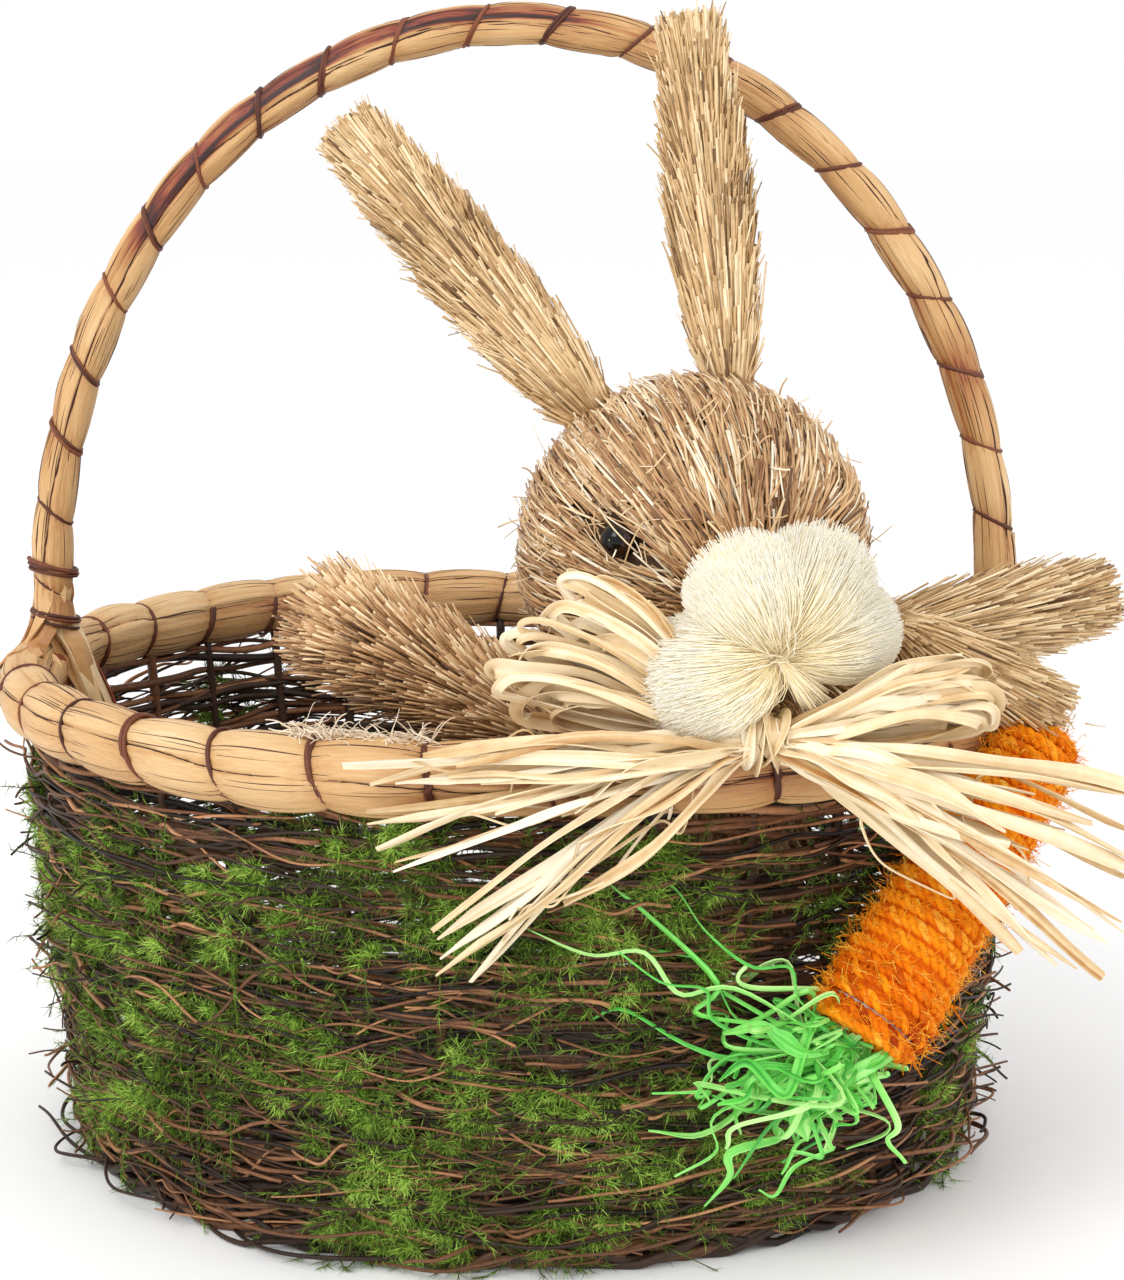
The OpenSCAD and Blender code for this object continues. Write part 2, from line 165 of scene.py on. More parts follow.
def fold_section(widths, fold, thick):
    """Cross-sections of a strip folded lengthwise, one for each half width: underside, then top."""
    across = np.array([-1, -0.62, -0.28, 0, 0.33, 0.66, 1])
    w = np.asarray(widths, float)[..., None]
    rise = w * np.asarray(fold)[..., None] * np.abs(across)
    under = np.stack([w * across, rise - np.minimum(thick, w)], axis=-1)
    top = np.stack([w * across, rise], axis=-1)[..., ::-1, :]
    return np.concatenate([under, top], axis=-2)


def tube_faces(index, closed):
    """Quads between rings of numbered points, the last two axes of index, and a cap at each end."""
    here = index if closed else index[..., :-1, :]
    ahead = np.roll(index, -1, axis=-2) if closed else index[..., 1:, :]
    quads = np.stack([here, np.roll(here, -1, axis=-1), np.roll(ahead, -1, axis=-1), ahead], axis=-1)
    faces = [quads.reshape(-1, 4)]
    if not closed:
        faces += [np.atleast_2d(index[..., 0, ::-1]), np.atleast_2d(index[..., -1, :])]
    return faces


def sweep(paths, normals, sections, tone, closed=False):
    """Tubes along paths of shape (n, k, 3), as points, faces and colour values."""
    paths = np.asarray(paths, float)
    n, k, _ = paths.shape
    if closed:
        tangents = np.roll(paths, -1, axis=1) - np.roll(paths, 1, axis=1)
    else:
        tangents = np.gradient(paths, axis=1)
    tangents = unit(tangents)
    normals = np.broadcast_to(normals, paths.shape)
    normals = unit(normals - tangents * np.sum(normals * tangents, axis=-1, keepdims=True))
    sides = np.cross(normals, tangents)
    s = sections.shape[-2]
    sections = np.broadcast_to(sections, (n, k, s, 2))
    rings = (paths[:, :, None] + sections[..., :1] * sides[:, :, None]
             + sections[..., 1:] * normals[:, :, None])
    tone = np.asarray(tone, float)
    tone = tone.reshape(tone.shape + (1,) * (3 - tone.ndim)) if tone.ndim else tone
    along = np.linspace(0, 1, k)[None, :, None]
    return {
        "points": rings.reshape(-1, 3),
        "faces": tube_faces(np.arange(n * k * s).reshape(n, k, s), closed),
        "tone": np.broadcast_to(tone, (n, k, s)).reshape(-1),
        "along": np.broadcast_to(along, (n, k, s)).reshape(-1),
    }


def strands(paths, normals, radii, sides, tone, flat=1.0, closed=False):
    """Round strands along paths."""
    return sweep(paths, normals, round_section(radii, sides, flat), tone, closed)


def joined(parts, key):
    """One kind of value from all parts, one after another."""
    return np.concatenate([part[key] for part in parts])


def bristles(start, aim, length, curl, k):
    """Paths of k points that leave their starts along an aim and bend away by curl."""
    t = np.linspace(0, 1, k)[None, :, None]
    return start[:, None] + aim[:, None] * t * length + curl * t ** 2


def make(name, parts, material, body="basket", replaced=(), sharp=None):
    """One mesh object from several swept parts, riding on a body."""
    mesh = bpy.data.meshes.new(name)
    points = joined(parts, "points") * MM
    shift = 0
    corners, sizes = [], []
    for part in parts:
        for faces in part["faces"]:
            corners.append((faces + shift).reshape(-1))
            sizes.append(np.full(len(faces), faces.shape[1]))
        shift += len(part["points"])
    corners = np.concatenate(corners)
    sizes = np.concatenate(sizes)
    mesh.vertices.add(len(points))
    mesh.vertices.foreach_set("co", points.astype(np.float32).reshape(-1))
    mesh.loops.add(len(corners))
    mesh.loops.foreach_set("vertex_index", corners.astype(np.int32))
    mesh.polygons.add(len(sizes))
    starts = np.concatenate([[0], np.cumsum(sizes)[:-1]])
    mesh.polygons.foreach_set("loop_start", starts.astype(np.int32))
    mesh.update(calc_edges=True)
    mesh.shade_smooth()
    if sharp:
        mesh.set_sharp_from_angle(angle=math.radians(sharp))
    for key in ("tone", "along"):
        values = joined(parts, key).astype(np.float32)
        mesh.attributes.new(key, "FLOAT", "POINT").data.foreach_set("value", values)
    if all("grain" in part for part in parts):
        values = joined(parts, "grain").astype(np.float32).reshape(-1)
        mesh.attributes.new("grain", "FLOAT_VECTOR", "POINT").data.foreach_set("vector", values)
    mesh.materials.append(material)
    piece = bpy.data.objects.new(name, mesh)
    bpy.context.collection.objects.link(piece)
    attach(piece, body)
    if replaced:
        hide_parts(*replaced)
    return piece


# ---- materials ----

def new_material(name):
    """A node material with its tree and its shader."""
    material = bpy.data.materials.new(name)
    material.use_nodes = True
    return material, material.node_tree, material.node_tree.nodes["Principled BSDF"]


def fill(tree, node, inputs):
    """Gives a node's input sockets their constants, or links them to another node's output."""
    for key, value in inputs.items():
        if isinstance(value, bpy.types.NodeSocket):
            tree.links.new(value, node.inputs[key])
        else:
            node.inputs[key].default_value = value


def add(tree, kind, inputs, **settings):
    """A new shader node with its settings and inputs."""
    node = tree.nodes.new("ShaderNode" + kind)
    for key, value in settings.items():
        setattr(node, key, value)
    fill(tree, node, inputs)
    return node


def attribute(tree, name):
    """Node that reads a value stored on the mesh."""
    return add(tree, "Attribute", {}, attribute_name=name)


def surface(name, stops, roughness, speckle, stretch=None, bump=None, tip=None, **sockets):
    """A fibre or bark material: the piece's tone and a fine noise pick the colour from stops.

    speckle is the noise's scale and share of the tone, bump its scale, strength and height in mm,
    tip the start, end and colour of a tint along each strand, and stretch scales the bark's grain."""
    material, tree, shader = new_material(name)
    if stretch:
        grain = attribute(tree, "grain").outputs["Vector"]
        place = add(tree, "Mapping", {"Vector": grain, "Scale": stretch}).outputs["Vector"]
    else:
        place = add(tree, "TexCoord", {}).outputs["Object"]
    noise = add(tree, "TexNoise", {"Vector": place, "Scale": speckle[0], "Detail": 3})
    tone = attribute(tree, "tone").outputs["Fac"]
    shift = add(tree, "Math", {0: tone, 1: speckle[1] / 2}, operation="SUBTRACT")
    mix = add(tree, "Math", {0: noise.outputs["Fac"], 1: speckle[1], 2: shift.outputs[0]},
              operation="MULTIPLY_ADD")
    colour = ramp(tree, stops, mix.outputs[0])
    if tip:
        fade = ramp(tree, [(tip[0], (0, 0, 0)), (tip[1], (255, 255, 255))],
                    attribute(tree, "along").outputs["Fac"])
        tint = {"Factor": fade, "A": colour, "B": (*linear(tip[2]), 1)}
        blend = add(tree, "Mix", tint, data_type="RGBA", blend_type="MULTIPLY")
        colour = blend.outputs["Result"]
    fill(tree, shader, {"Roughness": roughness, "Base Color": colour})
    for socket, value in sockets.items():
        shader.inputs[socket.replace("_", " ").title().replace("Ior", "IOR")].default_value = value
    if bump:
        fine = add(tree, "TexNoise", {"Vector": place, "Scale": bump[0], "Detail": 4})
        relief = add(tree, "Bump", {"Strength": bump[1], "Distance": bump[2] * MM,
                                    "Height": fine.outputs["Fac"]})
        fill(tree, shader, {"Normal": relief.outputs["Normal"]})
    return material


def linear(colour):
    """Linear colour of an sRGB colour given from 0 to 255."""
    c = np.asarray(colour, float) / 255
    return tuple(np.where(c <= 0.04045, c / 12.92, ((c + 0.055) / 1.055) ** 2.4))


def ramp(tree, stops, factor):
    """Colours picked by factor from a ramp with the given positions and sRGB colours."""
    node = add(tree, "ValToRGB", {"Fac": factor})
    elements = node.color_ramp.elements
    while len(elements) < len(stops):
        elements.new(0.5)
    for element, (position, colour) in zip(elements, stops):
        element.position = position
        element.color = (*linear(colour), 1)
    return node.outputs["Color"]


VINE = surface("vine", [(0.0, (24, 16, 12)), (0.35, (62, 43, 31)), (0.65, (120, 78, 50)),
                        (1.0, (194, 140, 98))], 0.5, (700, 0.35), bump=(900, 0.4, 0.4),
               specular_ior_level=0.3)
MOSS = surface("moss", [(0.0, (60, 74, 34)), (0.35, (112, 142, 54)), (0.65, (150, 200, 74)),
                        (1.0, (214, 250, 126))], 0.6, (500, 0.3), tip=(0.3, 1.0, (255, 252, 215)),
               specular_ior_level=0.2)
BARK_STOPS = [(0.0, (52, 24, 20)), (0.16, (136, 58, 36)), (0.34, (172, 116, 66)),
              (0.6, (204, 158, 104)), (0.8, (220, 182, 130)), (1.0, (238, 212, 170))]
BARK = surface("bark", BARK_STOPS, 0.5, (2.6, 0.42), stretch=(0.05, 1.0, 1.0), bump=(3.2, 0.5, 0.4))
BARK_STRIP = surface("bark_strip", BARK_STOPS, 0.5, (160, 0.4), bump=(700, 0.5, 0.4))
TWINE = surface("twine", [(0.0, (58, 24, 14)), (0.5, (98, 48, 26)), (1.0, (140, 78, 44))],
                0.6, (900, 0.5))
STRAW = surface("straw", [(0.0, (92, 60, 36)), (0.3, (170, 122, 80)), (0.6, (212, 172, 122)),
                          (0.85, (240, 214, 172)), (1.0, (252, 238, 212))], 0.5, (450, 0.3))
EAR_STRAW = surface("ear_straw", [(0.0, (118, 84, 50)), (0.3, (190, 152, 102)), (0.6, (222, 188, 138)),
                                  (1.0, (248, 226, 186))], 0.5, (450, 0.3))
ARM_STRAW = surface("arm_straw", [(0.0, (88, 60, 40)), (0.3, (170, 126, 84)), (0.6, (216, 174, 124)),
                                  (1.0, (252, 228, 186))], 0.5, (450, 0.3))
# Straw under the head's thatch, dark brown so that it paints the shade in the gaps between the straws.
UNDER_STRAW_SHADE = surface("under_straw_shade", [(0.0, (62, 44, 30)), (1.0, (128, 92, 58))], 0.7, (300, 0.6),
                    bump=(600, 0.6, 0.8))
# The sisal's faint cream emission makes the fibres glow a little brighter than the lamps light them:
# painted light.
SISAL = surface("sisal", [(0.0, (230, 202, 134)), (0.35, (251, 233, 184)), (0.7, (254, 244, 214)),
                          (1.0, (255, 252, 240))], 0.5, (600, 0.2),
                sheen_weight=0.3, sheen_roughness=0.5,
                emission_color=(1.0, 0.88, 0.66, 1.0), emission_strength=0.07)
RAFFIA = surface("raffia", [(0.0, (178, 126, 68)), (0.25, (214, 180, 130)), (0.6, (235, 212, 170)),
                            (1.0, (249, 236, 210))], 0.42, (260, 0.45))
JUTE = surface("jute", [(0.0, (166, 54, 0)), (0.35, (232, 116, 0)), (0.7, (250, 156, 12)),
                        (1.0, (255, 206, 84))], 0.75, (700, 0.5), bump=(1400, 0.6, 0.5),
               specular_ior_level=0.15)
GREEN = surface("green_raffia", [(0.0, (50, 146, 52)), (0.35, (96, 204, 80)), (0.7, (146, 230, 110)),
                                 (1.0, (204, 250, 160))], 0.42, (300, 0.4))
GLUE = surface("glue", [(0.0, (214, 184, 146)), (1.0, (250, 238, 216))], 0.25, (400, 0.3))


# ---- basket ----

def oval(angle, half_length, z):
    """Points on the basket's oval at a height."""
    x = half_length * np.cos(angle)
    y = half_length * SQUASH * np.sin(angle)
    return stacked(x, y, z)


def outward(angle):
    """Level directions out of the oval."""
    return unit(np.stack([SQUASH * np.cos(angle), np.sin(angle), 0 * angle], axis=-1))


def vines(angle, reach, z, radii, sides, tone, closed=False):
    """Vines that lie off the middle of the wall by reach."""
    paths = oval(angle, wall_radius(z) + reach, z)
    return strands(paths, outward(angle), radii, sides, tone, closed=closed)


def wall_vines(rng):
    """Thin vines woven level round the stakes, each with its own wander."""
    rows, k = 50, 330
    angle = circle(k)[None, :]
    height = np.linspace(11, WALL_TOP[2] + 2, rows)[:, None] + rng.normal(0, 0.8, (rows, 1))
    wander = soft_noise((rows, k), (0, 8), rng) * 1.9 + soft_noise((rows, k), (0, 3), rng) * 0.7
    z = np.clip(height + wander, 8, WALL_TOP[2] + 3)
    weave = np.cos(STAKES / 2 * angle + math.pi * (np.arange(rows)[:, None] % 2))
    reach = weave * 1.5 + soft_noise((rows, k), (0, 4), rng) * 0.7
    radii = rng.uniform(0.7, 1.25, (rows, 1)) * (1 + 0.12 * soft_noise((rows, k), (0, 5), rng))
    tone = rng.uniform(0.1, 0.75, (rows, 1)) + 0.12 * soft_noise((rows, k), (0, 12), rng)
    part = vines(angle, reach, z, radii, 5, tone, closed=True)
    make("wall_vines", [part], VINE, replaced=["wall_weave"])


def loose_vines(rng):
    """Loose vines that wander over the outside of the wall, some with an end that sticks out."""
    n, k = 740, 26
    t = np.linspace(0, 1, k)[None, :]
    for name, first in (("wall_loose_vines_front", math.pi), ("wall_loose_vines_back", 0.0)):
        start = first + rng.uniform(0, 1, (n, 1)) * math.pi
        span = rng.uniform(0.15, 0.75, (n, 1)) * rng.choice([-1, 1], (n, 1))
        angle = start + span * t
        low = rng.uniform(6, WALL_TOP[2] - 4, (n, 1))
        z = low + rng.normal(0, 7, (n, 1)) * t + soft_noise((n, k), (0, 3.2), rng) * 1.9
        z = np.clip(z, 4, WALL_TOP[2] + 2)
        lift = rng.uniform(2.0, 5.4, (n, 1)) + np.abs(soft_noise((n, k), (0, 3.5), rng)) * 1.3
        lift += np.where(rng.random((n, 1)) < 0.22, 9, 1) * np.clip(t - 0.75, 0, 1) * 3.6
        radii = rng.uniform(0.35, 0.8, (n, 1)) * (1 - 0.45 * t)
        tone = rng.beta(2, 2.2, (n, 1)) + 0.12 * soft_noise((n, k), (0, 5), rng)
        make(name, [vines(angle, lift, z, radii, 4, tone)], VINE)


def stakes(rng):
    """Upright stakes, from the foot up into the rim."""
    k = 22
    angle = (np.arange(STAKES)[:, None] + 0.5) * TURN / STAKES
    angle = angle + soft_noise((STAKES, k), (0, 5), rng) * 0.006
    z = np.linspace(3, RIM_Z - 4, k)[None, :]
    radii = rng.uniform(1.2, 1.7, (STAKES, 1))
    part = vines(angle, -0.4, z, radii, 7, rng.uniform(0.2, 0.6, STAKES))
    make("wall_uprights", [part], VINE, replaced=["wall_stakes"])


def foot_ring(rng):
    """Vines twisted into the ring that the basket stands on, with bare loops that stick out."""
    n, k = 12, 420
    angle = circle(k)[None, :]
    turns = rng.integers(7, 15, (n, 1)) * rng.choice([-1, 1], (n, 1))
    phase = turns * angle + rng.uniform(0, TURN, (n, 1))
    spread = 3.4 + soft_noise((n, k), (0, 9), rng) * 0.8
    radii = rng.uniform(0.9, 1.5, (n, 1))
    z = np.maximum(4.4 + spread * np.sin(phase) * 1.1, radii + 0.05)
    paths = oval(angle, wall_radius(0) + spread * np.cos(phase), z)
    ring = strands(paths, outward(angle), radii, 6, rng.uniform(0.1, 0.7, n), closed=True)
    n, k = 70, 30
    t = np.linspace(0, 1, k)[None, :]
    start = rng.uniform(0, TURN, (n, 1))
    span = rng.uniform(0.12, 0.5, (n, 1)) * rng.choice([-1, 1], (n, 1))
    angle = start + span * t
    bulge = np.sin(math.pi * t) * rng.uniform(2, 13, (n, 1))
    stray = np.where(rng.random((n, 1)) < 0.35, rng.uniform(5, 15, (n, 1)), 0) * t ** 3
    z = rng.uniform(2, 16, (n, 1)) + rng.normal(0, 5, (n, 1)) * t + soft_noise((n, k), (0, 5), rng)
    z = np.maximum(z, 1.2)
    radii = rng.uniform(0.5, 0.95, (n, 1)) * (1 - 0.4 * t)
    ends = vines(angle, 3 + bulge + stray, z, radii, 5, rng.uniform(0.15, 0.8, n))
    make("foot_ring", [ring, ends], VINE, replaced=["base_ring"])


def floor(rng):
    """Floor of fine twigs woven over cross ribs."""
    reach = FLOOR_HIGH - 1.5
    parts = []
    for across, count, k in ((False, 62, 70), (True, 22, 50)):
        half = reach[0] if across else reach[1]
        other = reach[1] if across else reach[0]
        place = np.linspace(-0.98, 0.98, count)[:, None] * half
        length = other * np.sqrt(1 - (place / half) ** 2)
        run = np.linspace(-1, 1, k)[None, :] * length
        wave = np.sin(run * math.pi / 9.4 + math.pi * (np.arange(count)[:, None] % 2))
        z = 1.9 + (0.75 * wave if not across else 0 * run)
        side = place + soft_noise((count, k), (0, 6), rng) * 0.35
        paths = np.stack([side, run, z] if across else [run, side, z], axis=-1)
        radii = rng.uniform(0.85, 1.1, (count, 1))
        parts.append(strands(paths, UP, radii, 5, rng.uniform(0.1, 0.7, count)))
    make("floor_twigs", parts, VINE, replaced=["floor_weave"])


def moss_places(tufts, singles, low_angle, high_angle, rng):
    """Angle, height and brightness of each sprig, and how many are in tufts.

    The star-like tufts come first, and then the duller single sprigs between them."""
    grid = soft_noise((64, 256), (5, 5), default_rng(77))
    chosen = []
    while len(chosen) < tufts + singles:
        angle = rng.uniform(low_angle, high_angle)
        z = rng.uniform(5, WALL_TOP[2] - 2)
        cell = int(z / 130 * 63), int(angle / TURN * 256) % 256
        bias = 0.3 - 0.9 * max(0, (z - 100) / 26) - 0.8 * max(0, (18 - z) / 18)
        if grid[cell] + bias + rng.normal(0, 0.5) > 0:
            chosen.append((angle, z))
    chosen = np.array(chosen)
    centres = np.repeat(chosen[:tufts], 9, axis=0)
    spread = rng.normal(0, 1, centres.shape) * [0.008, 1.0]
    bright = np.repeat(np.clip(rng.normal(0.62, 0.22, tufts), 0.1, 1), 9)
    dull = np.clip(rng.normal(0.26, 0.14, singles), 0, 1)
    places = np.vstack([centres + spread, chosen[tufts:]])
    return places[:, 0], places[:, 1], np.concatenate([bright, dull]), len(centres)


def moss_sprigs(tufts, singles, low_angle, high_angle, rng):
    """Sprigs of moss with needles all round their stems, between two angles on the wall."""
    angle, z, shade, in_tufts = moss_places(tufts, singles, low_angle, high_angle, rng)
    count = len(angle)
    out = outward(angle)
    level = np.cross(UP, out)
    aim = rng.uniform(0, TURN, count)
    tufted = np.arange(count) < in_tufts
    rise = np.where(tufted, rng.uniform(0.05, 0.8, count), rng.uniform(-0.1, 0.3, count))
    along = unit(np.cos(aim)[:, None] * level + np.sin(aim)[:, None] * UP + rise[:, None] * out)
    length = np.where(tufted, rng.uniform(2.5, 5.5, count), rng.uniform(9, 22, count))
    root = oval(angle, wall_radius(z) + rng.uniform(1.4, 3.6, count), z)
    droop = rng.normal(0, 0.14, (count, 1, 3)) * length[:, None, None]
    stems = bristles(root, along, length[:, None, None], droop, 5)
    needles = 24
    spot = rng.uniform(0.05, 1, (count, needles))
    place = root[:, None] + along[:, None] * (spot * length[:, None])[..., None]
    place += droop * spot[..., None] ** 2
    spread = unit(rng.normal(0, 1, (count, needles, 3)))
    hug = np.where(tufted, 0.5, 0.8)[:, None, None]
    lean = unit(along[:, None] * hug + spread * 0.85 + out[:, None] * 0.2)
    reach = rng.uniform(2.6, 6.4, (count, needles)) * np.where(tufted, 1.0, 0.8)[:, None]
    tips = place + lean * reach[..., None]
    for points in (stems, place, tips):
        points[..., 2] = np.clip(points[..., 2], 0.6, RIM_Z - 7)
    parts = [strands(stems, out[:, None], 0.16, 3, shade * 0.6)]
    side = unit(np.cross(lean, spread + 0.01)) * 0.135
    other = np.cross(lean, side)
    base = np.stack([place + side, place - 0.5 * side + 0.87 * other,
                     place - 0.5 * side - 0.87 * other, tips], axis=2)
    total = count * needles
    first = np.arange(total)[:, None] * 4
    faces = np.concatenate([first + np.array([[0, 1, 3]]), first + np.array([[1, 2, 3]]),
                            first + np.array([[2, 0, 3]]), first + np.array([[0, 2, 1]])])
    tone = np.repeat((shade[:, None] + rng.normal(0, 0.22, (count, needles))).reshape(-1), 4)
    parts.append({"points": base.reshape(-1, 3), "faces": [faces], "tone": np.clip(tone, 0, 1),
                  "along": np.tile([0.2, 0.2, 0.2, 1.0], total)})
    return parts


def moss():
    """Moss in patches all round the wall, thinner behind."""
    stretches = [("moss_front_left", 0.92, 1.25), ("moss_front_middle", 1.25, 1.5),
                 ("moss_front_right", 1.5, 1.9), ("moss_back", -0.1, 0.92)]
    for number, (name, start, end) in enumerate(stretches):
        rng = default_rng(20 + number)
        replaced = ["moss_cover"] if number == 1 else ()
        sprigs = moss_sprigs(84, 680, start * math.pi, end * math.pi, rng)
        make(name, sprigs, MOSS, replaced=replaced)


# ---- bark rolls ----

def bark_surface(centres, across, up, lengths, radius, pinches, tilt, tints, start, rng, closed):
    """Bark strips laid along a padded roll: a ring of points at each centre, pinched along the
    tilted turns of twine. There is one strip for each of the tints, the first from the angle start.

    It gives the part, its grid of points, where the strips' seams are in each ring, the grid of
    tones and the angles round the roll."""
    k, s, strips = len(centres), 64, len(tints)
    theta = circle(s)[None, :]
    edges = np.sort(pinches)
    total = lengths[-1]
    spot = lengths[:, None] - turn_shift(theta, tilt)
    slot_at = np.searchsorted(edges, spot)
    first = edges[-1] - total if closed else -12
    last = edges[0] + total if closed else total + 12
    fence = np.concatenate([[first], edges, [last]])
    before = fence[slot_at]
    after = fence[slot_at + 1]
    fraction = (spot - before) / np.maximum(after - before, 1e-6)
    bulge = np.sin(math.pi * np.clip(fraction, 0, 1)) ** 0.42
    drift = soft_noise((k, 1), (70, 0), rng) * 0.05 + soft_noise((k, 1), (14, 0), rng) * 0.012
    turns = strips * ((theta - start) / TURN + drift)
    place = turns % 1.0
    ridge = np.minimum(place * 5, 1) * (1 - 0.3 * place)
    crack = np.exp(-(np.minimum(place, 1 - place) / 0.02) ** 2)
    folds = soft_noise((k, s), (40, 1.6), rng)
    fine = soft_noise((k, s), (30, 0.6), rng)
    lumps = soft_noise((k, s), (16, 6), rng)
    plump = rng.uniform(-0.03, 0.03, len(edges) + 1)[slot_at]
    rough = 0.02 * folds + 0.012 * fine + 0.022 * lumps
    r = radius * (0.75 + (0.21 + plump) * bulge + 0.05 * ridge + rough) * (1 - 0.09 * crack)
    points = centres[:, None] + r[..., None] * (np.cos(theta)[..., None] * across[:, None]
                                                + np.sin(theta)[..., None] * up[:, None])
    tint = np.asarray(tints)[np.floor(turns).astype(int) % strips]
    tint = tint + rng.uniform(-0.08, 0.08, len(edges) + 1)[slot_at]
    lines = np.clip(soft_noise((k, s), (45, 0.5), rng) - 1.0, 0, 2) * 0.22
    stains = np.clip(soft_noise((k, s), (30, 6), rng) - 0.9, 0, 2) * 0.17
    # The tone follows the folds, lighter on their ridges and darker in their hollows, and drops towards
    # the pinches at the turns of twine: painted shade.
    tone = 0.7 + tint + 0.04 * folds - lines - stains - 0.2 * crack
    tone = tone - 0.22 * (1 - bulge)
    faces = tube_faces(np.arange(k * s).reshape(k, s), closed)
    grain = stacked(lengths[:, None], r * np.cos(theta), r * np.sin(theta))
    along = np.broadcast_to((lengths / total)[:, None], (k, s))
    part = {"points": points.reshape(-1, 3), "faces": faces, "tone": tone.reshape(-1),
            "along": along.reshape(-1), "grain": grain.reshape(-1, 3)}
    seams = s * (start / TURN + np.arange(strips) / strips - drift)
    return part, points, seams, tone, theta


def turn_shift(theta, tilt):
    """How far a tilted turn of twine runs along the roll at each angle round it."""
    return tilt[0] * np.cos(theta) + tilt[1] * np.sin(theta)


def bark_threads(points, seams, count, rng):
    """Dark threads along the bark: fine grain anywhere, and thicker cracks along the strips' seams."""
    k, s, _ = points.shape
    steps = 14
    total = count + count // 4
    fine = np.arange(total) < count
    reach = np.where(fine, rng.integers(12, 70, total), rng.integers(30, 62, total))
    first = (rng.uniform(0, 1, total) * (k - reach - 1)).astype(int)
    row = (first[:, None] + reach[:, None] * np.linspace(0, 1, steps)).astype(int)
    column = rng.uniform(0, s, (total, 1)) + soft_noise((total, steps), (0, 4), rng) * 0.35
    strip = rng.integers(0, seams.shape[1], (total, 1))
    column = np.where(fine[:, None], column, seams[row, strip])
    whole = np.floor(column).astype(int)
    part = (column - whole)[..., None]
    paths = points[row, whole % s] * (1 - part) + points[row, (whole + 1) % s] * part
    normals = unit(paths - points[row].mean(axis=2))
    taper = np.sin(math.pi * np.linspace(0.06, 0.94, steps))[None, :]
    thick = np.where(fine, rng.uniform(0.07, 0.2, total), rng.uniform(0.2, 0.42, total))
    tone = np.where(fine, rng.uniform(0.0, 0.4, total), 0.0)
    return strands(paths + 0.02 * normals, normals, thick[:, None] * taper, 3, tone)


def run_lengths(points):
    """Length of the way along a line of points to each of them."""
    steps = np.linalg.norm(np.diff(points, axis=0), axis=1)
    return np.concatenate([[0], np.cumsum(steps)])


def rim_frame(angle):
    """Centre, outward direction and direction along the rim."""
    out = outward(angle)
    return oval(angle, RIM_A, RIM_Z), out, np.cross(UP, out)


def rim_turn_angles():
    """Angles of the turns of twine, left out next to the handle."""
    angle = (np.arange(RIM_TURNS) + 0.5) * TURN / RIM_TURNS
    return angle[np.abs(np.sin(angle)) > math.sin(TURN / RIM_TURNS)]


def rim(rng):
    """The padded bark roll of the rim, and the dark grain in it."""
    k = 1440
    angle = circle(k)
    centres, out, _ = rim_frame(angle)
    lengths = run_lengths(centres)
    pinches = np.interp(rim_turn_angles(), angle, lengths)
    centres = centres + 0.5 * soft_noise((k, 1), (45, 0), rng) * UP
    ups = np.broadcast_to(UP, out.shape)
    part, points, seams, _, _ = bark_surface(centres, out, ups, lengths, ROLL * 1.04, pinches, RIM_TILT,
                                             RIM_TINTS, 0.2, rng, True)
    part["faces"][0] = part["faces"][0][:, ::-1]
    make("rim_bark", [part], BARK, replaced=["rim_roll"])
    make("rim_grain", [bark_threads(points, seams, 560, rng)], TWINE)


def twine_turns(centres, across, up, along, radius, tilt, rng, most):
    """Turns of twine round a roll, up to most of them side by side at each place."""
    paths, normals = [], []
    theta = circle(40)
    for centre, a, u, w in zip(centres, across, up, along):
        for strand in range(rng.integers(1, most + 1)):
            apart = strand * rng.uniform(0.8, 1.2) * np.cos(theta / 2 + rng.uniform(0, 3))
            shift = turn_shift(theta, tilt) + apart
            shift = shift + 0.25 * np.sin(theta + rng.uniform(0, TURN))
            ring = np.cos(theta)[:, None] * a + np.sin(theta)[:, None] * u
            paths.append(centre + (radius + 0.2 * strand) * ring + shift[:, None] * w)
            normals.append(ring)
    paths, normals = np.array(paths), np.array(normals)
    radii = rng.uniform(0.5, 0.72, (len(paths), 1))
    return strands(paths, normals, radii, 6, rng.uniform(0.15, 0.85, len(paths)), closed=True)


def rim_binding(rng):
    """Turns of twine round the rim's roll."""
    centres, out, along = rim_frame(rim_turn_angles())
    ups = np.broadcast_to(UP, out.shape)
    part = twine_turns(centres, out, ups, along, ROLL * 0.875, RIM_TILT, rng, 2)
    make("rim_twine", [part], TWINE, replaced=["rim_binding"])


def handle_line(k):
    """Centres of the handle from the left foot over to the right, with the directions out of the
    arch, to the front and along it."""
    leg = np.linspace(HANDLE_FOOT, HANDLE_SPRING, 12)[:-1]
    half = np.linspace(math.pi, 0, k)
    height = HANDLE_SPRING + (HANDLE_TOP - HANDLE_SPRING) * np.sin(half)
    arch = stacked(HANDLE_A * np.cos(half), 0.0, height)
    left = stacked(-HANDLE_A, 0.0, leg)
    right = left[::-1] * [-1, 1, 1]
    line = np.vstack([left, arch, right])
    tangents = unit(np.gradient(line, axis=0))
    front = np.broadcast_to(np.array([0.0, -1.0, 0.0]), line.shape)
    return line, unit(np.cross(front, tangents)), front, tangents


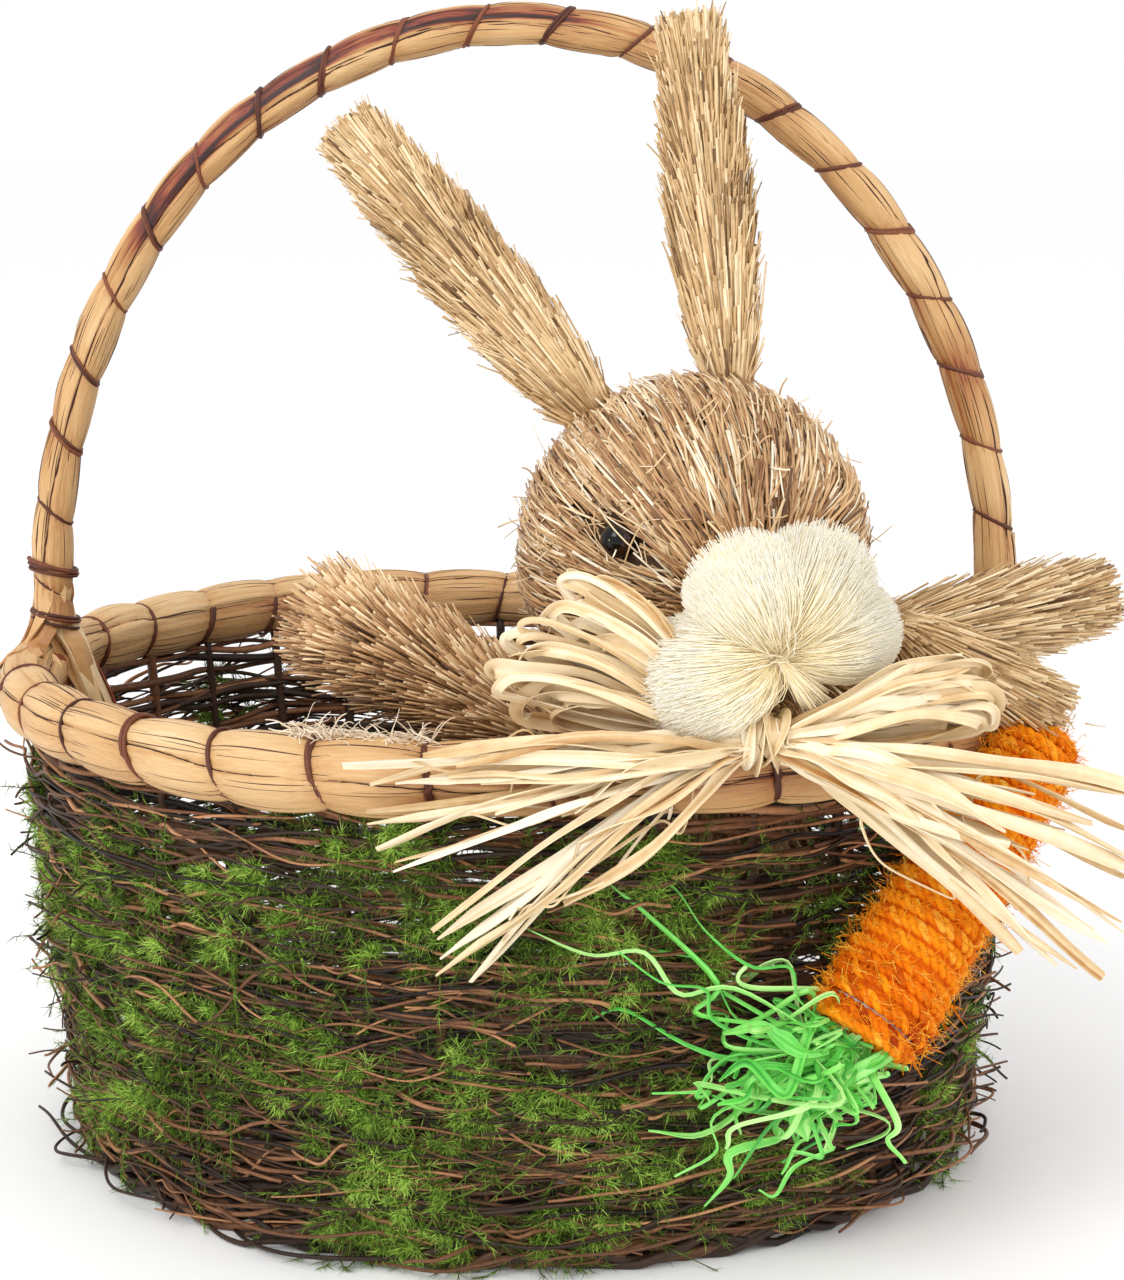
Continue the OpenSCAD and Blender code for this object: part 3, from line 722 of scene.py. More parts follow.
def handle(rng):
    """Bark strips along the handle, with a red-brown streak over its upper left."""
    line, out, front, tangents = handle_line(1180)
    lengths = run_lengths(line)
    total = lengths[-1]
    pinches = (np.arange(HANDLE_TURNS) + 0.5) * total / HANDLE_TURNS
    line = line + 0.6 * soft_noise((len(line), 1), (40, 0), rng) * front
    part, points, seams, tone, theta = bark_surface(line, out, front, lengths, HANDLE_R * 1.08, pinches,
                                                    HANDLE_TILT, HANDLE_TINTS, 1.5, rng, False)
    share = (lengths / total)[:, None]
    off = np.angle(np.exp(1j * (theta - 1.05 - 0.2 * np.sin(9 * share))))
    where = np.clip((share - 0.2) * 20, 0, 1) * np.clip((0.56 - share) * 20, 0, 1)
    streak = np.exp(-(off / 0.5) ** 4) * where
    edge = np.exp(-((off - 0.36) / 0.16) ** 2) * where
    part["tone"] = (tone - 0.6 * streak - 0.3 * edge - 0.07).reshape(-1)
    make("handle_bark", [part], BARK, replaced=["handle_roll"])
    make("handle_grain", [bark_threads(points, seams, 400, rng)], TWINE)
    at = np.searchsorted(lengths, pinches)
    turns = twine_turns(line[at], out[at], front[at], tangents[at], HANDLE_R * 0.9, HANDLE_TILT, rng, 2)
    make("handle_twine", [turns], TWINE, replaced=["handle_binding"])


def leg_strips(side, leg, k, rng):
    """Bark strips down a leg of the handle and over the rim: paths, normals and half widths."""
    paths, normals, widths = [], [], []
    for turn in circle(13) + rng.uniform(-0.15, 0.15, 13):
        aim = np.array([side * math.cos(turn), math.sin(turn), 0.0])
        reach = rng.uniform(12, 22) * math.sin(turn)
        points = [leg + aim * (4.9 + 0.1 * step ** 2) + UP * (178 - 7.5 * step) for step in range(4)]
        facing = [aim] * 4
        for share, bend in ((0.45, 30), (0.8, 72), (1.0, rng.uniform(95, 120))):
            spot = math.pi * (side < 0) + side * share * reach / RIM_B
            centre, out, _ = rim_frame(np.array([spot]))
            theta = math.radians(90 - bend * math.cos(turn))
            normal = math.cos(theta) * out[0] + math.sin(theta) * UP
            points.append(centre[0] + normal * (ROLL + 0.9))
            facing.append(normal)
        paths.append(spline(points, k) + 0.35 * soft_noise((k, 3), (3, 0), rng))
        normals.append(spline(facing, k))
        widths.append(rng.uniform(1.6, 2.9) * (1 + 0.2 * soft_noise((k,), (4,), rng)))
    return paths, normals, widths


def tail_strips(side, leg, k, rng):
    """Bark strips down the leg's tail inside the wall: paths, normals and half widths."""
    paths, normals, widths = [], [], []
    lean = np.array([0, 0, 0.6, 4.9, 9.2, 14.0])
    height = np.array([174.0, 163, 151, 142, 131, 116])
    for turn in circle(7):
        aim = np.array([math.cos(turn), math.sin(turn), 0.0])
        points = leg + height[:, None] * UP + aim * (4.6 - 0.05 * lean[:, None])
        points[:, 0] -= side * lean
        paths.append(spline(points, k) + 0.3 * soft_noise((k, 3), (3, 0), rng))
        normals.append(np.tile(aim, (k, 1)))
        widths.append(rng.uniform(2.4, 3.2) * np.ones(k))
    return paths, normals, widths


def lashing(side, rng):
    """Bark strips down a leg of the handle, over the rim and down its tail, and their twine."""
    k = 26
    leg = np.array([side * HANDLE_A, 0.0, 0.0])
    both = zip(leg_strips(side, leg, k, rng), tail_strips(side, leg, k, rng))
    paths, normals, widths = (over_rim + down_tail for over_rim, down_tail in both)
    sections = [fold_section(w, -0.35 + 0.25 * soft_noise((k,), (3,), rng), 0.6) for w in widths]
    tone = 0.56 + 0.16 * rng.standard_normal((len(paths), 1, 1))
    tone = tone + 0.1 * soft_noise((len(paths), k, 1), (0, 5, 0), rng)
    strips = sweep(np.array(paths), np.array(normals), np.array(sections), tone)
    heights = np.array([149.0, 151.5, 164.0, 165.5])
    centres = leg + heights[:, None] * UP
    across = np.tile([side, 0.0, 0.0], (4, 1))
    front = np.tile([0.0, -1.0, 0.0], (4, 1))
    twine = twine_turns(centres, across, front, np.tile(UP, (4, 1)), 6.6, (1.5, 0.8), rng, 2)
    return strips, twine


def lashings(rng):
    """Both feet of the handle."""
    for name, side in (("left", -1), ("right", 1)):
        strips, twine = lashing(side, rng)
        make(f"lashing_{name}_bark", [strips], BARK_STRIP, replaced=[f"handle_lashing_{name}"],
             sharp=40)
        make(f"lashing_{name}_twine", [twine], TWINE)


# ---- straw ----

# Degrees that the head is turned, nodded and tilted, and that the eyes are round from the face
# and up from its middle. EYE_REACH is how far they are from the middle of the head.
HEAD_TURN, HEAD_NOD, HEAD_TILT = 20, 10, 8
EYE_TURN, EYE_RISE = 45, 25
EYE_REACH = 44.5
HEAD_STRAWS = 8800
GOLDEN_TURN = math.pi * (3 - math.sqrt(5))


def from_head(points, place=True):
    """Points or directions of the head's frame, X to the face and Z up, in the basket's frame."""
    v = turned(np.asarray(points, float), [1, 0, 0], math.radians(HEAD_TILT))
    v = turned(v, [0, 1, 0], math.radians(HEAD_NOD))
    v = turned(v, [0, 0, 1], math.radians(HEAD_TURN - 90))
    return v + HEAD if place else v


PINCH = from_head([66, -3, -2.2])
FANS = {"left": [([57.5, -18.5, -8.5], 16.2)], "top": [([57, -6.5, 11.5], 14.8)],
        "right": [([56, 11.5, 10.5], 14.4), ([58.5, 18.5, -3], 12.8)]}


def eye_place(side):
    """Centre of the eye bead on one side of the head."""
    around = math.radians(EYE_TURN) * side
    rise = math.radians(EYE_RISE)
    level = math.cos(rise)
    aim = np.array([level * math.cos(around), level * math.sin(around), math.sin(rise)])
    return from_head(EYE_REACH * aim)


def thatch(start, step, rng):
    """Every step-th straw of the head, starting from the one numbered start."""
    number = np.arange(start, HEAD_STRAWS, step) + 0.5
    z = 1 - 2 * number / HEAD_STRAWS
    ring = np.sqrt(1 - z * z)
    turn = number * GOLDEN_TURN
    count = len(number)
    root = stacked(ring * np.cos(turn), ring * np.sin(turn), z)
    root = unit(root + rng.normal(0, 0.02, (count, 3)))
    pole = unit(PINCH - HEAD)
    away = root * np.sum(root * pole, axis=1, keepdims=True) - pole
    away = unit(away + rng.normal(0, 0.09, (count, 3)))
    axis = unit(np.cross(root, away))
    length = rng.uniform(10, 25, count)
    t = np.linspace(0, 1, 5)
    bend = (length / HEAD_R)[:, None] * (t - 0.45)[None, :]
    base = HEAD_R - 3.4 + rng.uniform(0, 2.8, count)[:, None]
    lift = base + 1.7 * t[None, :] ** 1.5 * rng.uniform(0.0, 1.5, (count, 1))
    bend = bend[..., None]
    direction = root[:, None] * np.cos(bend) + np.cross(axis, root)[:, None] * np.sin(bend)
    far = np.linalg.norm(HEAD + direction * HEAD_R - eye_place(1), axis=-1)
    lift = lift + 5.4 * np.exp(-(far / 9) ** 2)
    paths = HEAD + direction * lift[..., None]
    clear = np.linalg.norm(paths - eye_place(-1), axis=-1).min(axis=1) > 4.7
    paths, direction = paths[clear], direction[clear]
    radii = rng.uniform(0.24, 0.56, (len(paths), 1)) * (1 - 0.15 * t[None, :])
    patches_and_shade = 0.52 + 0.14 * np.sin(paths[:, 2, 0] * 0.21) * np.sin(paths[:, 2, 2] * 0.17 + 1)
    # Straws higher on the head are made lighter and lower ones darker: painted light and shade, added to
    # the random patches.
    patches_and_shade = patches_and_shade + 0.12 * np.clip((paths[:, 2, 2] - HEAD[2]) / HEAD_R, -1, 1)
    tone = np.clip(patches_and_shade + rng.normal(0, 0.25, len(paths)), 0, 1)
    return strands(paths, direction, radii, 4, tone, flat=0.55)


def head(rng):
    """Straw laid over the head like thatch, radiating from the muzzle."""
    make("head_straw", [thatch(0, 2, rng)], STRAW, replaced=["head_coat"])
    make("head_straw_between", [thatch(1, 2, rng)], STRAW)
    # The dark ball under the thatch stands for the straw beneath; its dark colour paints the shade in the
    # gaps between the straws.
    under = soft_ball(HEAD, HEAD_R - 3.8, 0.4, 0.2, rng)
    make("head_under", [under], UNDER_STRAW_SHADE)
    make("head_stray_straw", [stray_straw(rng)], STRAW)


def stray_straw(rng):
    """Thin bits of straw that stand off the head every way, and a few that cross the near eye."""
    n = 700
    root = unit(rng.normal(0, 1, (n, 3)))
    aim = unit(rng.normal(0, 1, (n, 3)) + 0.25 * root)
    length = rng.uniform(2.5, 7, (n, 1, 1))
    curl = rng.normal(0, 0.2, (n, 1, 3)) * length
    paths = bristles(HEAD + root * (HEAD_R - 0.2), aim, length, curl, 5)
    eye = eye_place(-1)
    out = unit(eye - HEAD)
    level = unit(np.cross(UP, out))
    t = np.linspace(0, 1, 5)[:, None]
    crossing = ((-3.9, 0.9), (-3.0, 0.7), (3.7, 1.1), (2.4, 0.8), (4.6, 1.3), (-4.8, 0.2), (5.0, -0.4))
    for number, (shift, lean) in enumerate(crossing):
        across = unit(UP * math.cos(lean) - level * math.sin(lean))
        middle = eye + out * (5.2 if abs(shift) < 3.5 else 3.2) + np.cross(across, out) * shift
        paths[number] = middle + across * (t - 0.45) * 15 - out * (t - 0.5) ** 2 * 9
    radii = rng.uniform(0.14, 0.28, (n, 1))
    return strands(paths, root[:, None], radii, 4, rng.uniform(0.5, 1, n), flat=0.6)


def soft_ball(centre, radius, rough, tone, rng):
    """Lumpy ball under a coat of straw or fibres, so that no gap in the coat shows through."""
    rows, cols = 60, 120
    a = np.linspace(0.02, math.pi - 0.02, rows)[:, None]
    b = circle(cols)[None, :]
    reach = radius + rough * soft_noise((rows, cols), (1.5, 1.5), rng)
    ball = stacked(np.sin(a) * np.cos(b), np.sin(a) * np.sin(b), np.cos(a))
    points = centre + reach[..., None] * ball
    index = np.arange(rows * cols).reshape(rows, cols)
    turned_on = np.roll(index, -1, axis=1)
    quads = np.stack([index[:-1], index[1:], turned_on[1:], turned_on[:-1]], axis=-1)
    tones = np.clip(tone + 0.12 * soft_noise((rows, cols), (2, 2), rng), 0, 1)
    faces = [quads.reshape(-1, 4), index[:1], index[-1:, ::-1]]
    return {"points": points.reshape(-1, 3), "faces": faces,
            "tone": tones.reshape(-1), "along": np.zeros(rows * cols)}


def brush(start, end, wide, widths, depths, count, straw, splay, rng, blunt=2.0,
          radius=(0.3, 0.6), root=0.25, loose=0.35, shade=0.0):
    """Straws that leave an axis towards its end like a bottle brush, trimmed to an outline.

    widths and depths are half sizes at equal steps along the axis, root is the share of them that
    the straws already have where they start, and blunt is how uneven the cut end is."""
    k = 5
    axis = unit(end - start)
    wide = unit(wide - axis * np.dot(wide, axis))
    deep = np.cross(axis, wide)
    total = np.linalg.norm(end - start)
    ends = rng.uniform(0.06, 1.22, count) * total
    over = ends > total
    ends = np.where(over, total + rng.uniform(-blunt, blunt, count), ends)
    where = np.clip(ends / total, 0, 1)
    steps = np.linspace(0, 1, len(widths))
    turn = rng.uniform(0, TURN, count)
    share = np.where(over, np.sqrt(rng.uniform(0, 1, count)), rng.uniform(0.72, 1.08, count))
    w = np.interp(where, steps, widths) * share * np.cos(turn)
    d = np.interp(where, steps, depths) * share * np.sin(turn)
    length = straw * rng.uniform(0.65, 1.25, count)
    begin = np.maximum(ends - length, -2)
    t = np.linspace(0, 1, k)[None, :]
    open_out = np.clip(splay * t + (1 - splay) * t ** 0.6, 0, 1)
    narrow = root + (1 - root) * open_out
    height = begin[:, None] + (ends - begin)[:, None] * t
    drift = rng.normal(0, loose, (count, 1, 3)) * t[..., None] * 2
    paths = (start + axis * height[..., None] + wide * (w[:, None] * narrow)[..., None]
             + deep * (d[:, None] * narrow)[..., None] + drift)
    off_axis = wide * np.cos(turn)[:, None] + deep * np.sin(turn)[:, None]
    radii = rng.uniform(*radius, (count, 1)) * (1 - 0.15 * t)
    # shade makes the straws lighter on the side that wide points to and darker on the opposite side:
    # painted light and shade.
    patches_and_shade = 0.1 * np.sin(where * 9 + 2 * np.sin(turn)) + shade * np.cos(turn)
    tone = np.clip(0.54 + patches_and_shade + rng.normal(0, 0.25, count), 0, 1)
    return strands(paths, off_axis[:, None], radii, 4, tone, flat=0.55)


# Degrees to the side, length and share of the full width of each ear.
EARS = {"left": (-42, 100.5, 1.0), "right": (-7, 95.5, 0.93)}
EAR_NOD = -11


def ears(rng):
    """Two flat brushes of straw, each riding on its own body."""
    for side, (degrees, length, size) in EARS.items():
        pivot = joint_place(f"{side}_ear_bend")
        lean = math.radians(degrees)
        axis = turned(turned(UP, [1, 0, 0], math.radians(EAR_NOD)), [0, 1, 0], lean)
        wide = turned(np.array([1.0, 0, 0]), [0, 1, 0], lean)
        start = pivot + axis * 1.5
        end = pivot + axis * length
        widths = size * np.array([7.6, 9.6, 11.2, 12.2, 12.4, 11.8, 10.6, 8.6])
        depths = [4.2, 4.6, 4.8, 5.0, 5.0, 4.8, 4.4, 4.0]
        long_ones = brush(start, end, wide, widths, depths, 2900, 27, 0.8, rng, blunt=1.4,
                          radius=(0.26, 0.74), root=0.55)
        short = brush(start, end, wide, widths * 1.03, depths, 1500, 12, 0.6, rng, blunt=1.8,
                      radius=(0.2, 0.4), root=0.5, loose=0.6)
        make(f"ear_{side}_straw", [long_ones, short], EAR_STRAW, body=f"{side}_ear",
             replaced=[f"ear_{side}"])


ARM_LEFT = (np.array([38.0, -58, 117]), np.array([-46.0, -84, 171]))
ARM_RIGHT = (np.array([80.0, -50, 151.5]), np.array([160.0, -35.5, 167.5]))
BUNDLE = (np.array([104.0, -59, 162]), np.array([141.5, -70, 143]))
CHIN = (np.array([60.0, -72, 168]), np.array([80.0, -100, 150]))


def arms(rng):
    """Both arms and the smaller bundle under the right one."""
    start, tip = ARM_LEFT
    root = tip - 0.72 * (tip - start)
    straw = brush(root, tip, UP, [11, 13, 14.5, 15.5, 15.5, 14.5], [10, 12, 14, 15, 15.5, 14.5],
                  4800, 24, 0.75, rng, blunt=4.5, radius=(0.26, 0.52), loose=0.7, shade=0.2)
    make("arm_left_straw", [straw], ARM_STRAW, replaced=["arm_left"])
    start, tip = ARM_RIGHT
    root = tip - 0.85 * (tip - start)
    straw = brush(root, tip, UP, [9, 10.5, 12, 12.5, 12, 9.5], [8.5, 10, 11, 12, 11.5, 9],
                  4300, 30, 0.8, rng, blunt=1.6, radius=(0.28, 0.55), root=0.45)
    make("arm_right_straw", [straw], EAR_STRAW, replaced=["arm_right"])
    start, tip = BUNDLE
    straw = brush(start, tip, UP, [6, 8, 9.5, 8.5], [6, 7, 8, 7.5],
                  2100, 26, 0.8, rng, blunt=4, root=0.5)
    make("hand_bundle_straw", [straw], EAR_STRAW, replaced=["hand_bundle_right"])


def bunny_body(rng):
    """Straw body inside the basket under the head, and the straw under its chin."""
    low, high = node_box("bunny_body")
    centre = (low + high) / 2
    top = np.array([centre[0], centre[1], high[2] + 6])
    foot_point = np.array([centre[0], centre[1], low[2]])
    half = (high[0] - low[0]) / 2
    outline = half * np.array([0.55, 0.85, 0.97, 1.0, 1.0])
    wide = np.array([1.0, 0, 0])
    straw = brush(top, foot_point, wide, outline, outline, 4400, 34, 0.8, rng, radius=(0.4, 0.8))
    make("body_straw", [straw], ARM_STRAW, replaced=["bunny_body"])
    start, tip = CHIN
    chin = brush(start, tip, wide, [16, 17, 18, 18], [9, 9, 9, 8],
                 1900, 24, 0.8, rng, blunt=3, root=0.7)
    make("chin_straw", [chin], STRAW)


# ---- sisal muzzle ----

def fan(centre, radius, count, rng):
    """Fine fibres that spread from the pinch into a rounded fan, and a soft core inside it."""
    k = 5
    centre = from_head(centre)
    face = from_head([1.0, 0, 0], place=False)
    aim = unit(rng.normal(0, 1, (count, 3)))
    behind = np.sum(aim * face, axis=1) < -0.35
    aim[behind] -= 2 * np.sum(aim[behind] * face, axis=1, keepdims=True) * face
    out = centre - PINCH
    toward = np.sum(aim * unit(out), axis=1)
    aim = unit(aim + unit(out) * np.where(toward < -0.2, 0.9, 0.0)[:, None])
    ends = centre + aim * (radius * rng.uniform(0.92, 1.07, count))[:, None]
    t = np.linspace(0, 1, k)[None, :, None]
    begin = PINCH + rng.normal(0, 0.8, (count, 3)) - face * 1.0
    bulge = (aim * 0.35 + face * 0.28) * radius * rng.uniform(0.6, 1.1, (count, 1))
    middle = (begin + ends) / 2 + bulge
    paths = begin[:, None] * (1 - t) ** 2 + middle[:, None] * 2 * t * (1 - t) + ends[:, None] * t ** 2
    radii = rng.uniform(0.12, 0.2, (count, 1)) * (1 - 0.35 * t[..., 0])
    tone = rng.normal(0.5, 0.14, (count, 1)) + 0.4 * t[..., 0] ** 2 - 0.45 * (1 - t[..., 0]) ** 3
    fibres = strands(paths, face, radii, 3, np.clip(tone, 0, 1))
    return [fibres, soft_ball(centre, radius * 0.86, 0.3, 0.55, rng)]


def muzzle(rng):
    """The three puffs of the muzzle, the tuft under them and the thread round their pinch."""
    for name, fans in FANS.items():
        parts = []
        for centre, radius in fans:
            parts += fan(centre, radius, 6000 // len(fans), rng)
        make(f"muzzle_{name}_sisal", parts, SISAL, replaced=[f"muzzle_{name}"])
    tuft = brush(PINCH + from_head([2, 1, -2], False), PINCH + from_head([4, 9, -14], False), UP,
                 [1, 2.4, 4], [1, 1.5, 2.2], 260, 13, 0.9, rng, radius=(0.14, 0.24), root=0.3)
    make("chin_sisal", [tuft], SISAL, replaced=["chin_tuft"])
    rings = []
    for lean in (0.0, 0.9, -0.8):
        angle = circle(30)
        across = from_head([0, math.cos(lean), math.sin(lean)], False)
        face = from_head([1, 0, 0], False)
        ring = np.cos(angle)[:, None] * across + np.sin(angle)[:, None] * face
        rings.append(PINCH - face + 2.6 * ring)
    rings = np.array(rings)
    thread = strands(rings, rings - PINCH, 0.5, 6, [0.1, 0.4, 0.8], closed=True)
    make("muzzle_thread", [thread], SISAL, replaced=["muzzle_tie"])


# ---- raffia ----

def ribbons(name, curves, half_width, rng, material=RAFFIA, replaced=(), k=34, facing=(0, -1, 0),
            kink=0.3, around=None):
    """Folded strips along curves, torn narrower at the end. They face one way, or away from the
    point around."""
    paths, sections, tones, normals = [], [], [], []
    for curve in curves:
        path = spline(curve, k) + kink * soft_noise((k, 3), (4, 0), rng)
        t = np.linspace(0, 1, k)
        width = half_width * rng.uniform(0.5, 1.3) * (0.7 + 0.3 * np.sin(math.pi * t) ** 0.6)
        width *= 1 - rng.uniform(0, 0.95) * np.clip((t - 0.88) / 0.12, 0, 1)
        width = np.maximum(width * (1 + 0.16 * soft_noise((k,), (3,), rng)), 0.25)
        fold = 0.25 + 0.3 * soft_noise((k,), (6,), rng) + rng.uniform(-0.3, 0.5)
        sections.append(fold_section(width, np.clip(fold, -0.9, 0.9), 0.35))
        spin = rng.normal(0, 0.5) + 0.35 * soft_noise((k,), (8,), rng)
        face = np.asarray(facing, float) + 0.001 if around is None else path - around
        tangents = unit(np.gradient(path, axis=0))
        side = unit(np.cross(tangents, face))
        flat = np.cross(side, tangents)
        normals.append(flat * np.cos(spin)[:, None] + side * np.sin(spin)[:, None])
        paths.append(path)
        streaks = 0.13 * soft_noise((k, sections[-1].shape[1]), (14, 0), rng)
        tones.append(rng.uniform(0.4, 0.85) + 0.08 * soft_noise((k, 1), (6, 0), rng) + streaks)
    part = sweep(np.array(paths), np.array(normals), np.array(sections), np.array(tones))
    return make(name, [part], material, replaced=replaced, sharp=35)


def jitter(points, amount, rng):
    """Curve points moved a little, more towards the end."""
    points = np.asarray(points, float)
    grow = np.linspace(0.1, 1, len(points))[:, None]
    return points + rng.normal(0, amount, points.shape) * grow * [1, 0.6, 1]


def bow_knot(rng):
    """Raffia wound round the middle of the bow."""
    x, y, z = BOW
    wraps = []
    for i in range(14):
        shift = (i - 6.5) * 0.85
        angle = np.linspace(-0.4, TURN - 0.3, 9) + rng.normal(0, 0.1)
        bulge = 5.4 + rng.uniform(-0.3, 0.9) - 0.06 * shift ** 2
        slant = rng.uniform(-2.2, 2.2) * np.cos(angle)
        wrap = [x + shift + slant, y - bulge * np.sin(angle) * 1.1, z + bulge * np.cos(angle)]
        wraps.append(np.stack(wrap, axis=-1))
    ribbons("bow_knot_raffia", wraps, 2.6, rng, replaced=["bow_knot"], k=30, kink=0.2,
            around=BOW)


def bow_threads(ends, rng):
    """Thin curled threads of raffia that leave the knot towards the given places."""
    threads = []
    for dx, dz in ends:
        tip = np.array([dx * 0.8, -12, dz * 0.85])
        curl = rng.normal(0, 3.4, (7, 3)) * [1, 0.3, 1]
        threads.append(KNOT + tip * np.linspace(0.3, rng.uniform(0.7, 1.05), 7)[:, None] + curl)
    ribbons("bow_threads", threads, 0.34, rng, k=60, kink=0.5)


def neck_band(rng):
    """Raffia round the neck that meets in the bow's knot."""
    low, high = node_box("neck_band")
    rings = []
    for i in range(5):
        angle = np.linspace(-0.5 * math.pi, 1.5 * math.pi, 14)
        reach = 35.5 + rng.uniform(-1, 1)
        ring = np.stack([HEAD[0] + reach * np.cos(angle), HEAD[1] + reach * np.sin(angle),
                         (low[2] + high[2]) / 2 + rng.uniform(-1.5, 1.5) + 0 * angle], axis=-1)
        ring[0] = ring[-1] = KNOT + [0, 4, 0]
        rings.append(ring)
    ribbons("neck_raffia", rings, 1.6, rng, replaced=["neck_band"], k=90, facing=(0, 0, 1))


def bow(rng):
    """The raffia bow with its knot, loops, tails and loose threads, and the band round the neck."""
    bow_knot(rng)
    loops(-1, "bow_loops_left_raffia", (8, 46), (69, 60), 30, "bow_loop_left", rng)
    loops(1, "bow_loops_right_raffia", (5, 22), (58, 55), 24, "bow_loop_right", rng)
    left_ends = [(-99, -4), (-96, -9), (-92, -16), (-94, -25), (-89, -31), (-81, -47), (-76, -57),
                 (-72, -60)]
    tails(-1, "bow_tails_left_raffia", left_ends, 26, "bow_tails_left", rng)
    right_ends = [(99, -13), (92, -19), (92, -28), (86, -33), (88, -43), (82, -47), (82, -54),
                  (73, -57)]
    tails(1, "bow_tails_right_raffia", right_ends, 28, "bow_tails_right", rng)
    bow_threads(left_ends + right_ends[1::2], rng)
    neck_band(rng)


def loops(side, name, fan_angles, lengths, count, replaced, rng):
    """Loops of the bow: strips that leave the knot over a fan of angles, fold over and come back."""
    x, y, z = BOW
    curves = []
    for rise in np.linspace(*fan_angles, count):
        size = np.interp(rise, fan_angles, lengths) * rng.uniform(0.72, 1.03)
        out = math.radians(rise + rng.normal(0, 2))
        back = out - math.radians(rng.uniform(1, 7))
        deep = rng.uniform(-2, 5)
        curve = [[x + 3 * side, y - 3, z + 1]]
        for share, angle, depth in ((0.35, out + 0.05, -4), (0.7, out + 0.08, -4),
                                    (0.93, out + 0.03, -2), (1.0, (out + back) / 2, 1),
                                    (0.93, back, 3), (0.65, back - 0.03, 3), (0.3, back, 0)):
            reach = size * share
            curve.append([x + side * reach * math.cos(angle), y + depth + deep + 4 * share,
                          z + reach * math.sin(angle)])
        curve.append([x + 2 * side, y - 4, z])
        curves.append(curve)
    ribbons(name, curves, 1.9, rng, replaced=[replaced], k=60, kink=0.6)


def tails(side, name, ends, count, replaced, rng):
    """Tails of the bow: strips in bundles that end at or before each of the given places."""
    x, y, z = BOW
    curves = []
    for i in range(count):
        reach = 1.0 if i < len(ends) else rng.uniform(0.5, 1.0)
        off = 0.5 if i < len(ends) else 2.0
        dx, dz = np.array(ends[i % len(ends)]) * reach + rng.normal(0, off, 2)
        bow_out = rng.uniform(-3, 4)
        deep = rng.uniform(-3, 2)
        curves.append(jitter([[x + 4 * side, y - 5, z - 1 + rng.normal(0, 1.5)],
                              [x + 0.3 * dx, y - 8 + deep, z + 0.22 * dz + bow_out],
                              [x + 0.65 * dx, y - 9 + deep, z + 0.58 * dz + bow_out],
                              [x + dx, y - 9 + deep, z + dz]], 1.5, rng))
    ribbons(name, curves, 1.75, rng, replaced=[replaced], kink=0.5)


# ---- carrot ----

CARROT_TIP = np.array([140.5, -66.5, 137])
CARROT_END = np.array([91.0, -106, 68])
CARROT_LENGTH = np.linalg.norm(CARROT_END - CARROT_TIP)
CARROT_AXIS = unit(CARROT_END - CARROT_TIP)
CARROT_ACROSS = unit(np.cross(CARROT_AXIS, UP))
CARROT_UP = np.cross(CARROT_ACROSS, CARROT_AXIS)
CARROT_RADII = (11.0, 16.0)
ROPE_PITCH = 4.2
ROPE_R = 1.9
PLY_R = 1.1


def rope_line(k, rng):
    """Centres of the rope wound on the carrot's cone and coiled over its ends, and directions out."""
    turns = CARROT_LENGTH / ROPE_PITCH
    coils = 3.2
    wind = np.linspace(-coils, turns + coils, k)
    height = np.clip(wind * ROPE_PITCH, ROPE_R, CARROT_LENGTH - ROPE_R)
    radius = np.interp(height, [0, CARROT_LENGTH], CARROT_RADII) - ROPE_R
    radius -= 2.5 * np.clip(1 - height / 8, 0, 1) ** 2
    radius -= 3.6 * np.clip((height - CARROT_LENGTH + 10) / 10, 0, 1) ** 2
    radius = np.where(wind < 0, radius + wind * ROPE_PITCH * 0.9, radius)
    radius = np.where(wind > turns, radius - (wind - turns) * ROPE_PITCH, radius)
    radius = np.maximum(radius, 0.6)
    height = height + 0.35 * soft_noise((k,), (60,), rng)
    angle = wind * TURN
    ring = np.cos(angle)[:, None] * CARROT_ACROSS + np.sin(angle)[:, None] * CARROT_UP
    return CARROT_TIP + CARROT_AXIS * height[:, None] + ring * radius[:, None], ring


def rope_plies(centre, ring, rng):
    """Three plies that twist round the rope's centre."""
    k = len(centre)
    run = run_lengths(centre)
    parts = []
    for ply in (0, 1 / 3, 2 / 3):
        twist = TURN * (run / 8.5 + ply)
        path = centre + 1.0 * (np.cos(twist)[:, None] * ring + np.sin(twist)[:, None] * CARROT_AXIS)
        tone = 0.5 + 0.14 * soft_noise((k,), (6,), rng) + 0.1 * soft_noise((k,), (90,), rng)
        parts.append(strands(path[None], ring[None], PLY_R, 6, tone[None]))
    return parts


def rope_fuzz(centre, ring, rng):
    """Loose fibres that stand off the rope."""
    n = 6200
    pick = rng.integers(80, len(centre) - 80, n)
    run_on = unit(np.gradient(centre, axis=0))[pick] * rng.choice([-1, 1], (n, 1))
    aim = unit(ring[pick] * 0.35 + run_on * 0.9 + rng.normal(0, 0.45, (n, 3)))
    curl = rng.normal(0, 0.45, (n, 1, 3))
    length = rng.uniform(2, 7, (n, 1, 1))
    hair = bristles(centre[pick] + ring[pick] * 1.7, aim, length * 0.6, curl * length * 0.5, 5)
    radii = rng.uniform(0.07, 0.13, (n, 1))
    return strands(hair, aim[:, None] + 0.3, radii, 3, rng.uniform(0.4, 1, n))


